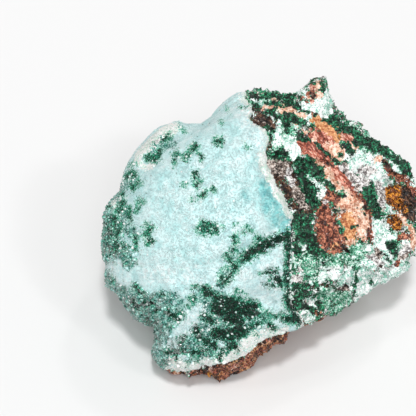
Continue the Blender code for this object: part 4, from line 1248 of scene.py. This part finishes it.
# The rock's own crumbs: each is one mineral, the strongest where it lies. Some minerals crumble more.
CRUMBS_TRIED, CRUMBS = 40000, 24000
CRUMBLY = {
    "mint": 0.7, "emerald": 0.9, "quartz": 0.9, "salmon": 0.12, "ochre": 0.4, "gold": 1.0, "red": 0.3,
    "brick": 0.3, "grey": 0.7, "dark": 0.5, "malachite": 1.0,
}
crumb = rock_finish("ore_crumbs", by_chance, Roughness=0.25, IOR=1.6)
centre = rock_shape[rock_faces].mean(axis=1)
hidden = eased(under_crust(centre), -0.3, 0.3)
weight = (0.25 + 0.75 * eased(centre[:, 2], 0.0, 6.0)) * (1 - hidden)
place, normal, draw = sow(rock_shape, rock_faces, weight, CRUMBS_TRIED, 104)
strengths = rock_minerals(place)
odds = np.array([CRUMBLY[kind] for kind in strengths])[strongest_of(strengths)]
chosen = picked(draw, odds, CRUMBS)
place, normal = place[chosen], normal[chosen]
strengths = blurred({kind: numbers[chosen] for kind, numbers in strengths.items()}, 0.2, draw)
strengths["chance"] = 2.4 * strengths["chance"] - 0.7
wide = 0.16 + 0.30 * draw.random(len(place)) ** 3
grains("ore_crumbs", place, normal, draw, wide, 0.75, CHIP, 0.5, strengths, crumb.material)

# --- The floor, the light and the camera -------------------------------------------------------------------
# A plain white sheet under soft white light: from all round, from overhead, and from a wide lamp in front,
# with small lamps that glint on the crystals. The camera looks square on to the show face.

PIXEL = 0.27  # millimetres of the show plane to one pixel of a picture 416 pixels wide
PICTURE = 416
AIM = (-42 * PIXEL, 27 * PIXEL)  # the picture's middle on the show plane, from the stone's middle
FLOOR_REACH, FLOOR_DROP = 1.5, 0.00005

out_way = np.array((0.0, -math.cos(SHOW_TILT), math.sin(SHOW_TILT)))
up_way = np.array((0.0, math.sin(SHOW_TILT), math.cos(SHOW_TILT)))
aim = (CORE + np.array((1.0, 0.0, 0.0)) * AIM[0] + up_way * AIM[1]) * MM
lens = bpy.data.cameras.new("camera")
lens.sensor_width = 36.0
lens.lens = 36.0 * SEEN_FROM / (PICTURE * PIXEL)
lens.clip_start = 0.01
camera = bpy.data.objects.new("camera", lens)
camera.location = aim + out_way * SEEN_FROM * MM
camera.rotation_euler = (math.pi / 2 - SHOW_TILT, 0, 0)
bpy.context.scene.collection.objects.link(camera)
bpy.context.scene.camera = camera

corners = FLOOR_REACH * np.array([(-1, -1, 0), (1, -1, 0), (1, 1, 0), (-1, 1, 0)]) - (0, 0, FLOOR_DROP)
floor_mesh = bpy.data.meshes.new("floor")
floor_mesh.from_pydata(corners.tolist(), [], [(0, 1, 2, 3)])
floor = bpy.data.objects.new("floor", floor_mesh)
bpy.context.scene.collection.objects.link(floor)
paper = bpy.data.materials.new("white_paper")
paper.use_nodes = True
paper.node_tree.nodes["Principled BSDF"].inputs["Base Color"].default_value = (0.75, 0.75, 0.75, 1)
paper.node_tree.nodes["Principled BSDF"].inputs["Roughness"].default_value = 0.9
paper.node_tree.nodes["Principled BSDF"].inputs["Specular IOR Level"].default_value = 0.0
floor.data.materials.append(paper)

world = bpy.data.worlds.new("room")
bpy.context.scene.world = world
world.use_nodes = True
world.node_tree.nodes["Background"].inputs["Color"].default_value = (1.0, 1.0, 1.0, 1)
world.node_tree.nodes["Background"].inputs["Strength"].default_value = 0.30

# Each lamp: how much light it gives, how many degrees wide it is, and where it shines from.
LAMPS = {
    "overhead": (1.75, 7.0, (0.02, -0.30, 0.95)),
    "front": (1.0, 30.0, (0.0, -0.62, 0.78)),
    "front_right": (0.2, 12.0, (0.50, -0.45, 0.74)),
    "glint_left": (0.2, 5.0, (-0.5, -0.2, 0.9)),
    "glint_right": (0.2, 5.0, (0.6, -0.5, 0.8)),
    "glint_back": (0.2, 5.0, (0.3, 0.4, 0.85)),
}
for name, (strength, wide, place) in LAMPS.items():
    light = bpy.data.lights.new(name, "SUN")
    light.energy = strength
    light.angle = math.radians(wide)
    lamp = bpy.data.objects.new(name, light)
    right, back, height = place
    lamp.rotation_euler = (math.atan2(math.hypot(right, back), height), 0, math.atan2(right, -back))
    bpy.context.scene.collection.objects.link(lamp)
bpy.context.scene.view_settings.view_transform = "Standard"
